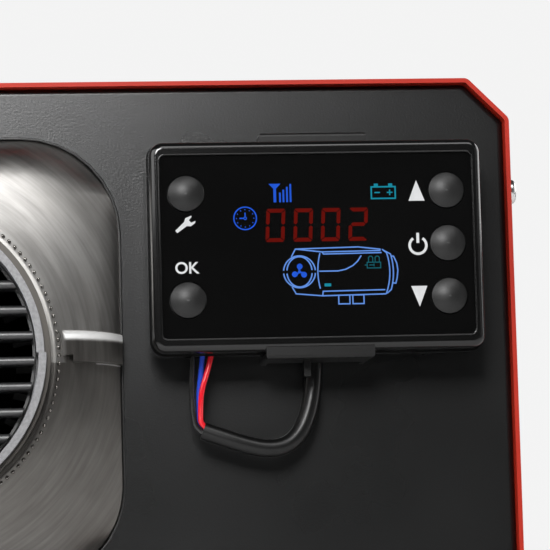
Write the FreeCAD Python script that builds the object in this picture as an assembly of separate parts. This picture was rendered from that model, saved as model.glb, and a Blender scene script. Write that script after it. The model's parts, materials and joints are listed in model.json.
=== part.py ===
import FreeCAD, Part
import math
import os
from FreeCAD import Rotation, Vector

# Portable diesel air heater in a folded steel case, in millimetres.
# X runs to the right, Y to the back, Z up; the front looks along -Y.
# The origin is on the floor, in the middle of the overall box.

# Case
CASE_W = 300.0
CASE_D = 400.0
CASE_H = 345.0
CASE_CHAMFER = 14.0
SHEET = 1.5
BEND_R = 3.0
PANEL_T = 1.2
PANEL_BEND = 2.2
PANEL_CORNER = 3.4
PANEL_RECESS = 4.0
PANEL_FLANGE = 16.0
TRAY_LIP = 15.0
FOOT_H = 15.0
FOOT_R = 17.0
FOOT_TOP_R = 14.0
FOOT_INSET = 34.0
FOOT_SCREW_GAP = 1.5

# Vent slots
VENT_L = 46.0
VENT_W = 5.0
VENT_PITCH = 12.0
VENT_ROWS = 7

# Screws
SCREW_R = 2.0
SCREW_HEAD_R = 4.0
SCREW_HEAD_H = 2.2
SCREW_RIM_H = 0.55
SCREW_L = 6.0
SCREW_HOLE_GAP = 0.2
SCREW_CROSS_L = 4.4
SCREW_CROSS_W = 1.0
SCREW_CROSS_D = 1.2
SIDE_SCREW_UP = 56.0
SIDE_SCREW_LOW = 60.0

# Heater unit: hot-air outlet, moulded shells
OUTLET_DROP = 94.0
OPENING = 151.0
OPENING_R = 33.0
NOZZLE_REACH = 34.0
NOZZLE_IN_R = 46.3
NOZZLE_LIP_R = 48.8
NOZZLE_R = 51.0
NOZZLE_RIM_R = 52.0
NOZZLE_RIM_RISE = 1.5
NOZZLE_STEP = 3.0
NOZZLE_SPREAD = 0.7
BODY_HALF = 77.5
BODY_CORNER = 30.5
BODY_GAP = 11.5
SHELL_T = 2.5
DOME_BACK = 17.0
DOME_FRONT = 20.0
DOME_ROOT_R = 52.5
DOME_FLAT = 0.5
DOME_STEPS = 6
SEAM_RISE = 8.0
SEAM_DROP = 2.3
SEAM_PROUD = 2.8
SEAM_ROUND = 2.4
SEAM_START_R = 55.0
SEAM_NOTCH = 58.5
SEAM_LAP_GAP = 0.25
SEAM_END = 1.0

# Outlet louvres
LOUVRE_PITCH = 8.4
LOUVRE_LOWER = 2.2
LOUVRE_T = 2.9
LOUVRE_D = 11.0
LOUVRE_SET_BACK = 6.0
LOUVRE_RIM = 0.9

# Heat exchanger, burner and blower, placed behind the panel face
CORE_R = 40.0
CORE_BORE_R = 34.0
FIN_R = 62.0
FIN_T = 2.4
FIN_COUNT = 28
CORE_FRONT = 40.0
BLOWER_BAY = 185.0
CORE_CAP = 18.0
CORE_CAP_R = 22.0
FOOTING_W = 92.0
FOOTING_L = 100.0
FOOTING_DROP = 78.0
FOOTING_GAP = 0.5
STUB_R = 12.0
STUB_WALL = 1.5
STUB_L = 26.0
EXHAUST_INSET = 70.0
INTAKE_INSET = 18.0
GASKET_T = 2.0
STUD_R = 3.0
STUD_X = 37.0
STUD_Y = 40.0
NUT_R = 5.6
NUT_H = 5.0
BURNER_R = 31.0
BURNER_WALL = 1.5
BURNER_TIP_GAP = 16.0
FLANGE_R = 44.0
FLANGE_T = 4.0
GLOW_R = 4.0
GLOW_HEAD_R = 6.0
GLOW_L = 34.0
GLOW_HEAD_L = 7.0
GLOW_OFFSET = 20.0
HOUSING_L = 39.0
HOUSING_WALL = 4.0
HOUSING_BACK = 6.0
HOUSING_EYE_R = 14.0
MOTOR_R = 30.0
MOTOR_L = 52.0
SHAFT_R = 3.0
SHAFT_FIT = 0.1
HUB_FIT = 0.02
IMPELLER_R = 37.0
IMPELLER_VANES = 12
FAN_R = 64.0
FAN_HUB_R = 17.0
FAN_L = 22.0
FAN_BLADES = 9
FAN_BLADE_T = 2.0
FAN_ROOT_PITCH = 50.0
FAN_TIP_PITCH = 28.0
FAN_CHORD_SHARE = 0.8
FAN_GAP = 6.0
ECU_W = 70.0
ECU_H = 25.0
ECU_L = 74.0
HOOD_L = 45.8
HOOD_GAP = 1.0
HOOD_PLATE = 3.0
HOOD_R = 52.0
HOOD_BORE_R = 47.0
HOOD_BARS = 5

# Exhaust and combustion-air lines under the shelf
SHELF_GAP = 2.5
SHELF_FRONT = 30.0
SHELF_REAR_GAP = 34.0
SHELF_FOOT = 12.0
SHELF_TANK_GAP = 4.0
PIPE_FIT = 0.2
PIPE_WALL = 1.0
PIPE_BEND = 36.0
LINE_GAP = 2.0
MUFFLER_R = 27.0
MUFFLER_L = 108.0
MUFFLER_Z = 70.0
MUFFLER_BAY = 172.0
MUFFLER_STUB = 20.0
TAIL_REACH = 30.0
TAIL_BEAD_R = 13.6
TAIL_BEAD_L = 3.0
CLAMP_W = 9.0
CLAMP_T = 1.2
HOSE_WALL = 2.0
HOSE_BEND = 24.0
INTAKE_Z = 115.0
FILTER_R = 22.0
FILTER_L = 30.0

# Fuel system
TANK_GAP = 26.0
TANK_SIDE_GAP = 8.5
TANK_FRONT = 50.0
TANK_REAR_GAP = 74.0
TANK_H = 292.0
TANK_R = 16.0
TANK_WALL = 3.0
NECK_INSET = 81.0
NECK_R = 24.0
NECK_WALL = 4.0
NECK_RISE = 16.0
NECK_FLANGE_R = 34.0
NECK_FLANGE_T = 3.0
COLLAR_R = 30.0
COLLAR_T = 2.5
COLLAR_HOLE_R = 27.0
COLLAR_FIT = 0.3
CAP_R = 31.0
CAP_H = 25.0
CAP_GAP = 3.0
CAP_FIT = 0.5
CAP_GRIPS = 12
CAP_GRIP_R = 5.0
CAP_GRIP_OUT = 3.5
SEAL_T = 2.0
SEAL_R = 23.0
SEAL_BORE_R = 15.0
STRAP_T = 1.0
STRAP_W = 20.0
STRAP_AT = 118.0
SPIGOT_R = 2.5
SPIGOT_L = 14.0
FUEL_INSET = 28.0
FUEL_Z = 50.0
SPIGOT_INSET = 14.0
FUEL_FILTER_R = 12.0
FUEL_FILTER_L = 40.0
FUEL_FILTER_RUN = 68.0
PUMP_R = 16.0
PUMP_L = 84.0
PUMP_RUN = 120.0
PUMP_CLAMP_W = 18.0
PUMP_CLAMP_T = 2.0
FUEL_HOSE_R = 3.5
FUEL_INLET_OFFSET = 28.0
FUEL_RUN = 32.0
FUEL_RISE = 49.0
FUEL_LOOP = [(6.0, 46.0, 32.0), (20.0, 20.0, 58.0)]

# Carrying handle
HANDLE_SPAN = 130.0
HANDLE_REACH = 74.0
HANDLE_ROD_R = 4.0
HANDLE_BEND = 18.0
HANDLE_PIN_BEND = 5.5
HANDLE_PIVOT_UP = 12.5
HANDLE_PIN_GAP = 0.3
GRIP_R = 10.0
GRIP_L = 90.0
GRIP_GROOVES = 9
GRIP_GROOVE_R = 1.0
EAR_T = 3.0
EAR_W = 18.0
EAR_FOOT = 20.0
EAR_GAP = 6.0

# Controller on the front panel, measured from its own centre
CTRL_GAP = 9.1
CTRL_OFFSET_Z = 34.5
CTRL_W = 110.6
CTRL_H = 70.0
CTRL_R = 4.5
CTRL_BEVEL = 1.8
CTRL_BEVEL_D = 2.6
CTRL_EDGE_R = 0.5
FRAME_D = 9.0
BACK_D = 8.0
BACK_OVER = 0.6
BACK_WALL = 2.0
LENS_W = 104.0
LENS_H = 61.0
LENS_R = 1.8
LENS_T = 1.5
LENS_SET_BACK = 0.8
LENS_FIT = 0.2
LEDGE = 1.2
PCB_T = 1.6
PCB_GAP = 1.0
BOSS_R = 3.0
BOSS_L = 3.0
DISPLAY_W = 58.0
DISPLAY_H = 46.0
BUTTON_R = 5.85
BUTTON_HOLE_GAP = 0.35
BUTTON_COLUMN = 43.45
BUTTON_ROW = 17.7
BUTTON_RISE = 0.5
BUTTON_DOME = 1.7
BUTTON_FLANGE_R = 6.6
BUTTON_FLANGE_T = 1.0
BUTTON_SEAT_GAP = 0.3
BUTTON_STEM_R = 2.0
BUTTON_TRAVEL = 1.0
SWITCH_W = 6.0
SWITCH_H = 3.0
SWITCH_BODY_H = 2.1
SWITCH_GAP = 0.2
CLIP_W = 36.0
CLIP_T = 1.9
CLIP_CORNER = 1.2
CLIP_TOP_REACH = 1.0
CLIP_TOP_T = 3.0
CLIP_PLATE = 2.0
CLIP_STAND = 9.0
CLIP_GAP = 0.2
CLIP_LIP = 1.3
CLIP_LIP_T = 2.2
TONGUE_X = -3.7
TONGUE_W = 2.2
TONGUE_L = 5.2
TONGUE_D = 4.0

# Controller lead: three wires into a sleeve, which loops back into the panel
WIRE_R = 0.9
SLEEVE_R = 3.0
SLEEVE_WALL = 0.4
LEAD_Y = 15.0
LEAD_SLOT_INSET = 17.7
LEAD_SLOT_W = 13.0
LEAD_SLOT_H = 4.0
GROMMET_R = 7.5
GROMMET_BORE_R = 4.4
GROMMET_HOLE_R = 6.0
GROMMET_T = 1.6
GROMMET_DROP = 29.2
# Routes from the controller's centre: across, in front of the panel, up
WIRE_ROUTES = {
    "lead_wire_black": [(-41.5, LEAD_Y, -34.5), (-42.0, 14.8, -41.5), (-42.2, 14.4, -47.6),
                        (-41.9, 13.6, -53.8), (-40.7, 13.0, -60.7), (-33.0, 13.0, -63.3)],
    "lead_wire_blue": [(-38.3, LEAD_Y, -34.5), (-38.9, 14.4, -41.3), (-39.8, 13.6, -47.2),
                       (-39.7, 12.8, -53.2), (-39.5, 11.9, -59.1), (-32.4, 11.9, -61.6)],
    "lead_wire_red": [(-35.2, LEAD_Y, -34.5), (-37.0, 15.8, -41.0), (-39.0, 16.0, -47.0),
                      (-39.4, 15.3, -53.0), (-39.4, 14.0, -59.3), (-32.4, 14.0, -61.7)],
}
SLEEVE_ROUTE = [(-38.6, 13.0, -60.1), (-31.6, 13.0, -62.6), (-24.5, 12.6, -65.0), (-17.2, 12.0, -66.6),
                (-10.6, 11.2, -65.6), (-5.8, 10.2, -61.2), (-3.0, 9.0, -55.2), (-1.4, 7.6, -49.2),
                (-0.6, 6.4, -43.6), (-0.2, 5.7, -38.2), (0.0, 5.4, -33.0), (0.0, 1.4, -GROMMET_DROP),
                (0.0, -4.6, -GROMMET_DROP)]

# Rear panel fittings
GUARD_R = 60.0
GUARD_T = 3.0
GUARD_BORE_R = 47.0
GUARD_RINGS = 4
GUARD_RING_W = 2.2
GUARD_SPOKES = 4
GUARD_SCREW_R = 54.0
GUARD_SCREWS = 4
TAIL_HOLE_GAP = 1.0
GLAND_INSET = 90.0
GLAND_Z = 70.0
GLAND_R = 8.0
GLAND_HEX_R = 12.0
GLAND_L = 16.0
GLAND_BORE_R = 4.0
GLAND_HEX_L = 5.3
GLAND_NUT_L = 4.0
GLAND_DOME_R = 9.0
GLAND_SHOULDER = 12.8
GLAND_MOUTH_R = 5.0

ARC_SHARE = 0.45
CUT = 1.0
SAME = 1e-6

# Places worked out from the sizes above
BASE_Z = FOOT_H
TOP_Z = FOOT_H + CASE_H
FLOOR_Z = BASE_Z + SHEET
CASE_HALF = CASE_W / 2
FRONT_REACH = NOZZLE_REACH - PANEL_RECESS
FRONT_Y = (FRONT_REACH - CASE_D - TAIL_REACH) / 2
REAR_Y = FRONT_Y + CASE_D
PANEL_Y = FRONT_Y + PANEL_RECESS
BACK_Y = REAR_Y - PANEL_RECESS
OUTLET_X = SHEET + BODY_GAP + BODY_HALF - CASE_HALF
OUTLET_Z = TOP_Z - OUTLET_DROP
CORE_REAR = CASE_D - BLOWER_BAY
FOOTING_FRONT = CORE_REAR - FOOTING_L
EXHAUST_AT = CORE_REAR - EXHAUST_INSET
INTAKE_AT = CORE_REAR - INTAKE_INSET
BURNER_L = CORE_REAR - CORE_FRONT - CORE_CAP / 2 - BURNER_TIP_GAP
MUFFLER_AT = CASE_D - MUFFLER_BAY
TANK_X = OUTLET_X + BODY_HALF + TANK_GAP
TANK_W = CASE_HALF - SHEET - TANK_SIDE_GAP - TANK_X
TANK_REAR = CASE_D - TANK_REAR_GAP
NECK_X = TANK_X + TANK_W / 2
NECK_AT = TANK_REAR - NECK_INSET
SPIGOT_AT = TANK_REAR - SPIGOT_INSET
FUEL_FILTER_AT = SPIGOT_AT - FUEL_FILTER_RUN
PUMP_AT = FUEL_FILTER_AT - PUMP_RUN
SHELF_RIGHT = TANK_X - SHELF_TANK_GAP
SHELF_REAR = CASE_D - SHELF_REAR_GAP
FUEL_X = SHELF_RIGHT - FUEL_INSET
GLAND_X = CASE_HALF - GLAND_INSET
SHELF_Z = OUTLET_Z - FOOTING_DROP - GASKET_T
FUEL_INLET_X = OUTLET_X + FUEL_INLET_OFFSET
FUEL_INLET_Y = PANEL_Y + (EXHAUST_AT + INTAKE_AT) / 2
CTRL_X = OUTLET_X + OPENING / 2 + CTRL_GAP + CTRL_W / 2
CTRL_Z = OUTLET_Z + CTRL_OFFSET_Z
TANK_TOP = FLOOR_Z + TANK_H
NECK_TOP = TOP_Z + NECK_RISE
PIVOT_Z = TOP_Z + HANDLE_PIVOT_UP
FLANGE_Y = PANEL_Y + CORE_REAR
HOUSING_Y = FLANGE_Y + FLANGE_T
MOTOR_Y = HOUSING_Y + HOUSING_L
FAN_Y = MOTOR_Y + MOTOR_L + FAN_GAP
HOOD_REAR = BACK_Y - PANEL_T - HOOD_GAP
HOOD_Y = HOOD_REAR - HOOD_L
CLIP_Y = PANEL_Y - CLIP_STAND - CLIP_PLATE
SEAM_Y = CLIP_Y - BACK_D
FACE_Y = SEAM_Y - FRAME_D
LENS_Y = FACE_Y + LENS_SET_BACK
LENS_BACK = LENS_Y + LENS_T
PCB_BACK = CLIP_Y - BACK_WALL - BOSS_L
PCB_FRONT = PCB_BACK - PCB_T

X_AXIS = Vector(1, 0, 0)
Y_AXIS = Vector(0, 1, 0)
Z_AXIS = Vector(0, 0, 1)


# Shape helpers
def export(name, shape):
    shape.exportStep("parts/" + name + ".step")


def group(shapes):
    return Part.makeCompound(shapes)


def box(x0, x1, y0, y1, z0, z1):
    return Part.makeBox(x1 - x0, y1 - y0, z1 - z0, Vector(x0, y0, z0))


def rod(x, y, z, axis, radius, length):
    return Part.makeCylinder(radius, length, Vector(x, y, z), axis)


def pipe(x, y, z, axis, outer, inner, length):
    return rod(x, y, z, axis, outer, length).cut(rod(x, y, z, axis, inner, length))


def outline(points, radii):
    """Closed wire through planar points, with a tangent arc at each corner that has a radius."""
    count = len(points)
    corners = []
    for i, corner in enumerate(points):
        back = points[i - 1] - corner
        ahead = points[(i + 1) % count] - corner
        if radii[i] == 0:
            corners.append((corner, None, corner))
            continue
        half = back.getAngle(ahead) / 2
        back.normalize()
        ahead.normalize()
        reach = radii[i] / math.tan(half)
        middle = (back + ahead).normalize() * (radii[i] / math.sin(half) - radii[i])
        corners.append((corner + back * reach, corner + middle, corner + ahead * reach))
    edges = []
    for i, (start, middle, end) in enumerate(corners):
        if middle is not None:
            edges.append(Part.Arc(start, middle, end).toShape())
        following = corners[(i + 1) % count][0]
        if (following - end).Length > SAME:
            edges.append(Part.LineSegment(end, following).toShape())
    return Part.Wire(edges)


def extruded(wire, vector):
    return Part.Face(wire).extrude(vector)


def rounded_rect(x, z, width, height, radius, y):
    corners = [(-1, -1), (1, -1), (1, 1), (-1, 1)]
    points = [Vector(x + sx * width / 2, y, z + sz * height / 2) for sx, sz in corners]
    return outline(points, [radius] * 4)


def slab(x, z, width, height, radius, y0, y1):
    return extruded(rounded_rect(x, z, width, height, radius, y0), Vector(0, y1 - y0, 0))


def turned(profile, x, y, z, axis):
    """Solid of revolution of (radius, distance along) points about an upright or fore-and-aft axis."""
    centre = Vector(x, y, z)
    points = [centre + X_AXIS * r + axis * s for r, s in profile]
    return Part.Face(Part.makePolygon(points + [points[0]])).revolve(centre, axis, 360)


def crown(radius, rise, apex):
    """Arc from the top of a shallow dome, at height apex on the Z axis, out to its rim."""
    ball = (radius ** 2 + rise ** 2) / (2 * rise)
    half = math.asin(radius / ball) / 2
    middle = Vector(ball * math.sin(half), 0, apex + ball * (1 - math.cos(half)))
    return Part.Arc(Vector(0, 0, apex), middle, Vector(radius, 0, apex + rise)).toShape()


def hexagon(x, y, z, radius, side, up):
    """Closed six-sided wire round a point, in the plane of the two directions given."""
    centre = Vector(x, y, z)
    corners = []
    for count in range(6):
        angle = count * math.pi / 3
        corners.append(centre + side * (radius * math.cos(angle)) + up * (radius * math.sin(angle)))
    return Part.makePolygon(corners + [corners[0]])


def path(points, bends=None):
    """Straight runs joined by tangent arcs, and the radii of those arcs."""
    edges = []
    radii = []
    start = points[0]
    for i, corner in enumerate(points[1:-1]):
        back = points[i] - corner
        ahead = points[i + 2] - corner
        half = back.getAngle(ahead) / 2
        radius = ARC_SHARE * min(back.Length, ahead.Length) * math.tan(half)
        if bends is not None:
            radius = bends[i]
        back.normalize()
        ahead.normalize()
        reach = radius / math.tan(half)
        middle = corner + (back + ahead).normalize() * (radius / math.sin(half) - radius)
        edges.append(Part.LineSegment(start, corner + back * reach).toShape())
        edges.append(Part.Arc(corner + back * reach, middle, corner + ahead * reach).toShape())
        radii.append(radius)
        start = corner + ahead * reach
    edges.append(Part.LineSegment(start, points[-1]).toShape())
    return Part.Wire(edges), radii


def tube(name, points, outer, inner=0.0, bends=None):
    """Round tube along a path; prints its bend radii and its volume beside section times length."""
    line, radii = path(points, bends)

    def swept(radius):
        profile = Part.Wire(Part.Circle(points[0], points[1] - points[0], radius).toShape())
        return line.makePipeShell([profile], True, False)

    solid = swept(outer)
    if inner > 0:
        solid = solid.cut(swept(inner))
    expected = math.pi * (outer ** 2 - inner ** 2) * line.Length
    print(name, "length %.1f" % line.Length, "radii", ["%.1f" % r for r in radii],
          "volume %.0f of %.0f" % (solid.Volume, expected))
    return solid


def edges_at_y(shape, y):
    return [e for e in shape.Edges if all(abs(v.Y - y) < SAME for v in e.Vertexes)]


# Case: shell, tray, panels
def case_outline(inset, bottom, y, bend):
    half = CASE_HALF - inset
    top = TOP_Z - inset
    cut = CASE_CHAMFER - inset * (2 - math.sqrt(2))
    right = [(half, bottom), (half, top - cut), (half - cut, top)]
    left = [(-px, pz) for px, pz in reversed(right)]
    points = [Vector(px, y, pz) for px, pz in right + left]
    return points, [bend] * len(points)


def case_prism(inset, bottom, y, length, bend, low_bend):
    points, radii = case_outline(inset, bottom, y, bend)
    radii[0] = low_bend
    radii[-1] = low_bend
    return extruded(outline(points, radii), Vector(0, length, 0))


def vent_slot(x, y, z):
    """Round-ended upright slot through a side wall."""
    straight = (VENT_L - VENT_W) / 2
    ends = [rod(x - CUT, y, z + s, X_AXIS, VENT_W / 2, SHEET + 2 * CUT) for s in (-straight, straight)]
    middle = box(x - CUT, x + SHEET + CUT, y - VENT_W / 2, y + VENT_W / 2, z - straight, z + straight)
    return middle.fuse(ends)


def side_vents():
    slots = []
    centre_y = (FRONT_Y + REAR_Y) / 2
    for x in (-CASE_HALF, CASE_HALF - SHEET):
        for row in range(VENT_ROWS):
            y = centre_y + (row - (VENT_ROWS - 1) / 2) * VENT_PITCH
            slots.append(vent_slot(x, y, INTAKE_Z))
    return slots


def side_screw_places():
    inset = PANEL_RECESS + PANEL_FLANGE / 2
    heights = (SIDE_SCREW_LOW, OUTLET_Z + SIDE_SCREW_UP)
    return [(y, z) for y in (FRONT_Y + inset, REAR_Y - inset) for z in heights]


def side_screw_holes():
    radius = SCREW_R + SCREW_HOLE_GAP
    reach = CASE_W + 2 * CUT
    return [rod(-CASE_HALF - CUT, y, z, X_AXIS, radius, reach) for y, z in side_screw_places()]


def handle_screw_places():
    places = []
    for side in (-1, 1):
        y = side * (HANDLE_SPAN / 2 + EAR_GAP + EAR_T + EAR_FOOT / 2)
        places += [(x, y) for x in (-EAR_W / 4, EAR_W / 4)]
    return places


def case_shell():
    shell = case_prism(0, BASE_Z, FRONT_Y, CASE_D, BEND_R, 0)
    inner = case_prism(SHEET, BASE_Z - CUT, FRONT_Y - CUT, CASE_D + 2 * CUT, BEND_R - SHEET, 0)
    neck_hole = rod(NECK_X, PANEL_Y + NECK_AT, TOP_Z - SHEET - CUT, Z_AXIS, COLLAR_HOLE_R, SHEET + 2 * CUT)
    radius = SCREW_R + SCREW_HOLE_GAP
    top_holes = [rod(x, y, TOP_Z - SHEET - CUT, Z_AXIS, radius, SHEET + 2 * CUT)
                 for x, y in handle_screw_places()]
    return shell.cut([inner, neck_hole] + top_holes + side_vents() + side_screw_holes())


def foot_places():
    x = CASE_HALF - FOOT_INSET
    return [(sx * x, y) for sx in (-1, 1) for y in (FRONT_Y + FOOT_INSET, REAR_Y - FOOT_INSET)]


def base_tray():
    half = CASE_HALF - SHEET
    floor = box(-half, half, FRONT_Y + PANEL_RECESS, REAR_Y - PANEL_RECESS, BASE_Z, FLOOR_Z)
    clear = PANEL_RECESS + PANEL_FLANGE + CUT
    lips = [box(x, x + SHEET, FRONT_Y + clear, REAR_Y - clear, FLOOR_Z, FLOOR_Z + TRAY_LIP)
            for x in (-half, half - SHEET)]
    holes = [rod(x, y, BASE_Z - CUT, Z_AXIS, SCREW_R + SCREW_HOLE_GAP, SHEET + 2 * CUT)
             for x, y in foot_places()]
    return floor.fuse(lips).cut(holes)


def pan(face_y, way):
    """Folded panel: a face at face_y with a flange all round, turned the way given (+1 back, -1 front)."""
    outer = case_prism(SHEET, FLOOR_Z, face_y, way * PANEL_FLANGE, PANEL_CORNER, PANEL_CORNER)
    outer = outer.makeFillet(PANEL_BEND, edges_at_y(outer, face_y))
    inner_y = face_y + way * PANEL_T
    inner = case_prism(SHEET + PANEL_T, FLOOR_Z + PANEL_T, inner_y, way * PANEL_FLANGE,
                       PANEL_CORNER - PANEL_T, PANEL_CORNER - PANEL_T)
    inner = inner.makeFillet(PANEL_BEND - PANEL_T, edges_at_y(inner, inner_y))
    return outer.cut([inner] + side_screw_holes())


def front_panel():
    opening = slab(OUTLET_X, OUTLET_Z, OPENING, OPENING, OPENING_R, PANEL_Y - CUT, PANEL_Y + PANEL_T + CUT)
    lead = rod(CTRL_X, PANEL_Y - CUT, CTRL_Z - GROMMET_DROP, Y_AXIS, GROMMET_HOLE_R, PANEL_T + 2 * CUT)
    return pan(PANEL_Y, 1).cut([opening, lead])


def guard_screw_places():
    places = []
    for count in range(GUARD_SCREWS):
        angle = (2 * count + 1) * math.pi / GUARD_SCREWS
        x = OUTLET_X + GUARD_SCREW_R * math.cos(angle)
        places.append((x, OUTLET_Z + GUARD_SCREW_R * math.sin(angle)))
    return places


def rear_panel():
    y = BACK_Y - PANEL_T - CUT
    through = PANEL_T + 2 * CUT
    inlet = rod(OUTLET_X, y, OUTLET_Z, Y_AXIS, GUARD_BORE_R, through)
    tail = rod(OUTLET_X, y, MUFFLER_Z, Y_AXIS, STUB_R + TAIL_HOLE_GAP, through)
    gland = rod(GLAND_X, y, GLAND_Z, Y_AXIS, GLAND_R, through)
    screws = [rod(x, y, z, Y_AXIS, SCREW_R + SCREW_HOLE_GAP, through) for x, z in guard_screw_places()]
    return pan(BACK_Y, -1).cut([inlet, tail, gland] + screws)


def inlet_guard():
    """Round finger guard: a rim, concentric rings and spokes, on the outside of the rear panel."""
    y = BACK_Y
    guard = pipe(OUTLET_X, y, OUTLET_Z, Y_AXIS, GUARD_R, GUARD_BORE_R, GUARD_T)
    step = GUARD_BORE_R / (GUARD_RINGS + 1)
    pieces = []
    for count in range(1, GUARD_RINGS + 1):
        middle = count * step
        pieces.append(pipe(OUTLET_X, y, OUTLET_Z, Y_AXIS, middle + GUARD_RING_W / 2,
                           middle - GUARD_RING_W / 2, GUARD_T))
    for spoke in range(GUARD_SPOKES):
        bar = box(OUTLET_X - GUARD_BORE_R - CUT, OUTLET_X + GUARD_BORE_R + CUT, y, y + GUARD_T,
                  OUTLET_Z - GUARD_RING_W / 2, OUTLET_Z + GUARD_RING_W / 2)
        bar.rotate(Vector(OUTLET_X, y, OUTLET_Z), Y_AXIS, spoke * 180 / GUARD_SPOKES)
        pieces.append(bar)
    holes = [rod(x, y - CUT, z, Y_AXIS, SCREW_R + SCREW_HOLE_GAP, GUARD_T + 2 * CUT)
             for x, z in guard_screw_places()]
    return guard.fuse(pieces).cut(holes).removeSplitter()


def rubber_feet():
    hollow = SCREW_HEAD_R + FOOT_SCREW_GAP
    recess = FOOT_H / 2
    shank = SCREW_R + SCREW_HOLE_GAP
    profile = [(shank, FOOT_H), (FOOT_R, FOOT_H), (FOOT_TOP_R, 0), (hollow, 0), (hollow, recess),
               (shank, recess)]
    return group([turned(profile, x, y, 0, Z_AXIS) for x, y in foot_places()])


def pan_screw(x, y, z, way, shank):
    """Domed cross-head screw whose head sits on the point given and whose shank runs the way given."""
    dome = crown(SCREW_HEAD_R, SCREW_HEAD_H - SCREW_RIM_H, -SCREW_HEAD_H)
    rest = Part.makePolygon([Vector(SCREW_HEAD_R, 0, -SCREW_RIM_H), Vector(SCREW_HEAD_R, 0, 0),
                             Vector(SCREW_R, 0, 0), Vector(SCREW_R, 0, shank), Vector(0, 0, shank),
                             Vector(0, 0, -SCREW_HEAD_H)])
    screw = Part.Face(Part.Wire([dome] + rest.Edges)).revolve(Vector(0, 0, 0), Z_AXIS, 360)
    long = SCREW_CROSS_L / 2
    wide = SCREW_CROSS_W / 2
    top = -SCREW_HEAD_H - CUT
    deep = SCREW_CROSS_D - SCREW_HEAD_H
    screw = screw.cut([box(-long, long, -wide, wide, top, deep), box(-wide, wide, -long, long, top, deep)])
    screw.Placement = FreeCAD.Placement(Vector(x, y, z), Rotation(Z_AXIS, way))
    return screw


def case_screws():
    screws = []
    for side in (-1, 1):
        for y, z in side_screw_places():
            screws.append(pan_screw(side * CASE_HALF, y, z, X_AXIS * -side, SCREW_L))
    for x, z in guard_screw_places():
        screws.append(pan_screw(x, BACK_Y + GUARD_T, z, -Y_AXIS, SCREW_L))
    for x, y in handle_screw_places():
        screws.append(pan_screw(x, y, TOP_Z + EAR_T, -Z_AXIS, SCREW_L))
    for x, y in foot_places():
        screws.append(pan_screw(x, y, FOOT_H / 2, Z_AXIS, FOOT_H / 2 + SHEET + EAR_T))
    return group(screws)


# Carrying handle
def handle_brackets():
    brackets = []
    for side in (-1, 1):
        inner = side * (HANDLE_SPAN / 2 + EAR_GAP)
        outer = inner + side * EAR_T
        foot_end = outer + side * EAR_FOOT
        half = EAR_W / 2
        ear = box(-half, half, min(inner, outer), max(inner, outer), TOP_Z, PIVOT_Z)
        crown = rod(0, min(inner, outer), PIVOT_Z, Y_AXIS, half, EAR_T)
        foot = box(-half, half, min(inner, foot_end), max(inner, foot_end), TOP_Z, TOP_Z + EAR_T)
        pin_hole = HANDLE_ROD_R + HANDLE_PIN_GAP
        bore = rod(0, min(inner, outer) - CUT, PIVOT_Z, Y_AXIS, pin_hole, EAR_T + 2 * CUT)
        holes = [rod(x, y, TOP_Z - CUT, Z_AXIS, SCREW_R + SCREW_HOLE_GAP, EAR_T + 2 * CUT)
                 for x, y in handle_screw_places()]
        brackets.append(ear.fuse([crown, foot]).cut([bore] + holes).removeSplitter())
    return group(brackets)


def handle_bail():
    """One bent rod: a pin in each ear, two legs and the bar that carries the grip."""
    half = HANDLE_SPAN / 2
    pin = half + EAR_GAP + EAR_T + EAR_GAP / 2
    side = [(0, pin), (0, half), (-HANDLE_REACH, half)]
    points = [Vector(x, -y, PIVOT_Z) for x, y in side]
    points += [Vector(x, y, PIVOT_Z) for x, y in reversed(side)]
    bends = [HANDLE_PIN_BEND, HANDLE_BEND, HANDLE_BEND, HANDLE_PIN_BEND]
    return tube("handle_bail", points, HANDLE_ROD_R, bends=bends)


def handle_grip():
    """Rubber grip on the bail, with grooves round it."""
    grip = rod(-HANDLE_REACH, -GRIP_L / 2, PIVOT_Z, Y_AXIS, GRIP_R, GRIP_L)
    grip = grip.makeFillet(GRIP_R / 3, edges_at_y(grip, -GRIP_L / 2) + edges_at_y(grip, GRIP_L / 2))
    step = GRIP_L / (GRIP_GROOVES + 1)
    cuts = []
    for count in range(1, GRIP_GROOVES + 1):
        centre = Vector(-HANDLE_REACH, count * step - GRIP_L / 2, PIVOT_Z)
        cuts.append(Part.makeTorus(GRIP_R, GRIP_GROOVE_R, centre, Y_AXIS))
    cuts.append(rod(-HANDLE_REACH, -GRIP_L, PIVOT_Z, Y_AXIS, HANDLE_ROD_R + HUB_FIT, 2 * GRIP_L))
    return grip.cut(cuts)


# Heater unit shells
def dome_section(t, grow):
    """Rounded square at step t from the body (0) to the outlet ring (1), grown outwards."""
    angle = t * math.pi / 2
    half = DOME_ROOT_R + (BODY_HALF - DOME_ROOT_R) * math.cos(angle) + grow
    corner = min(BODY_CORNER + (DOME_ROOT_R - BODY_CORNER) * t ** 2 + grow, half - DOME_FLAT)
    y = PANEL_Y + DOME_BACK - (DOME_BACK + DOME_FRONT + grow) * math.sin(angle)
    return rounded_rect(OUTLET_X, OUTLET_Z, 2 * half, 2 * half, corner, y)


def heater_form(grow, end):
    """Outer form of the heater unit, from the outlet ring back to its rear end."""
    dome = Part.makeLoft([dome_section(t / DOME_STEPS, grow) for t in range(DOME_STEPS + 1)], True, False)
    half = BODY_HALF + grow
    body = slab(OUTLET_X, OUTLET_Z, 2 * half, 2 * half, BODY_CORNER + grow, PANEL_Y + DOME_BACK, end)
    return dome.fuse(body)


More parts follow.
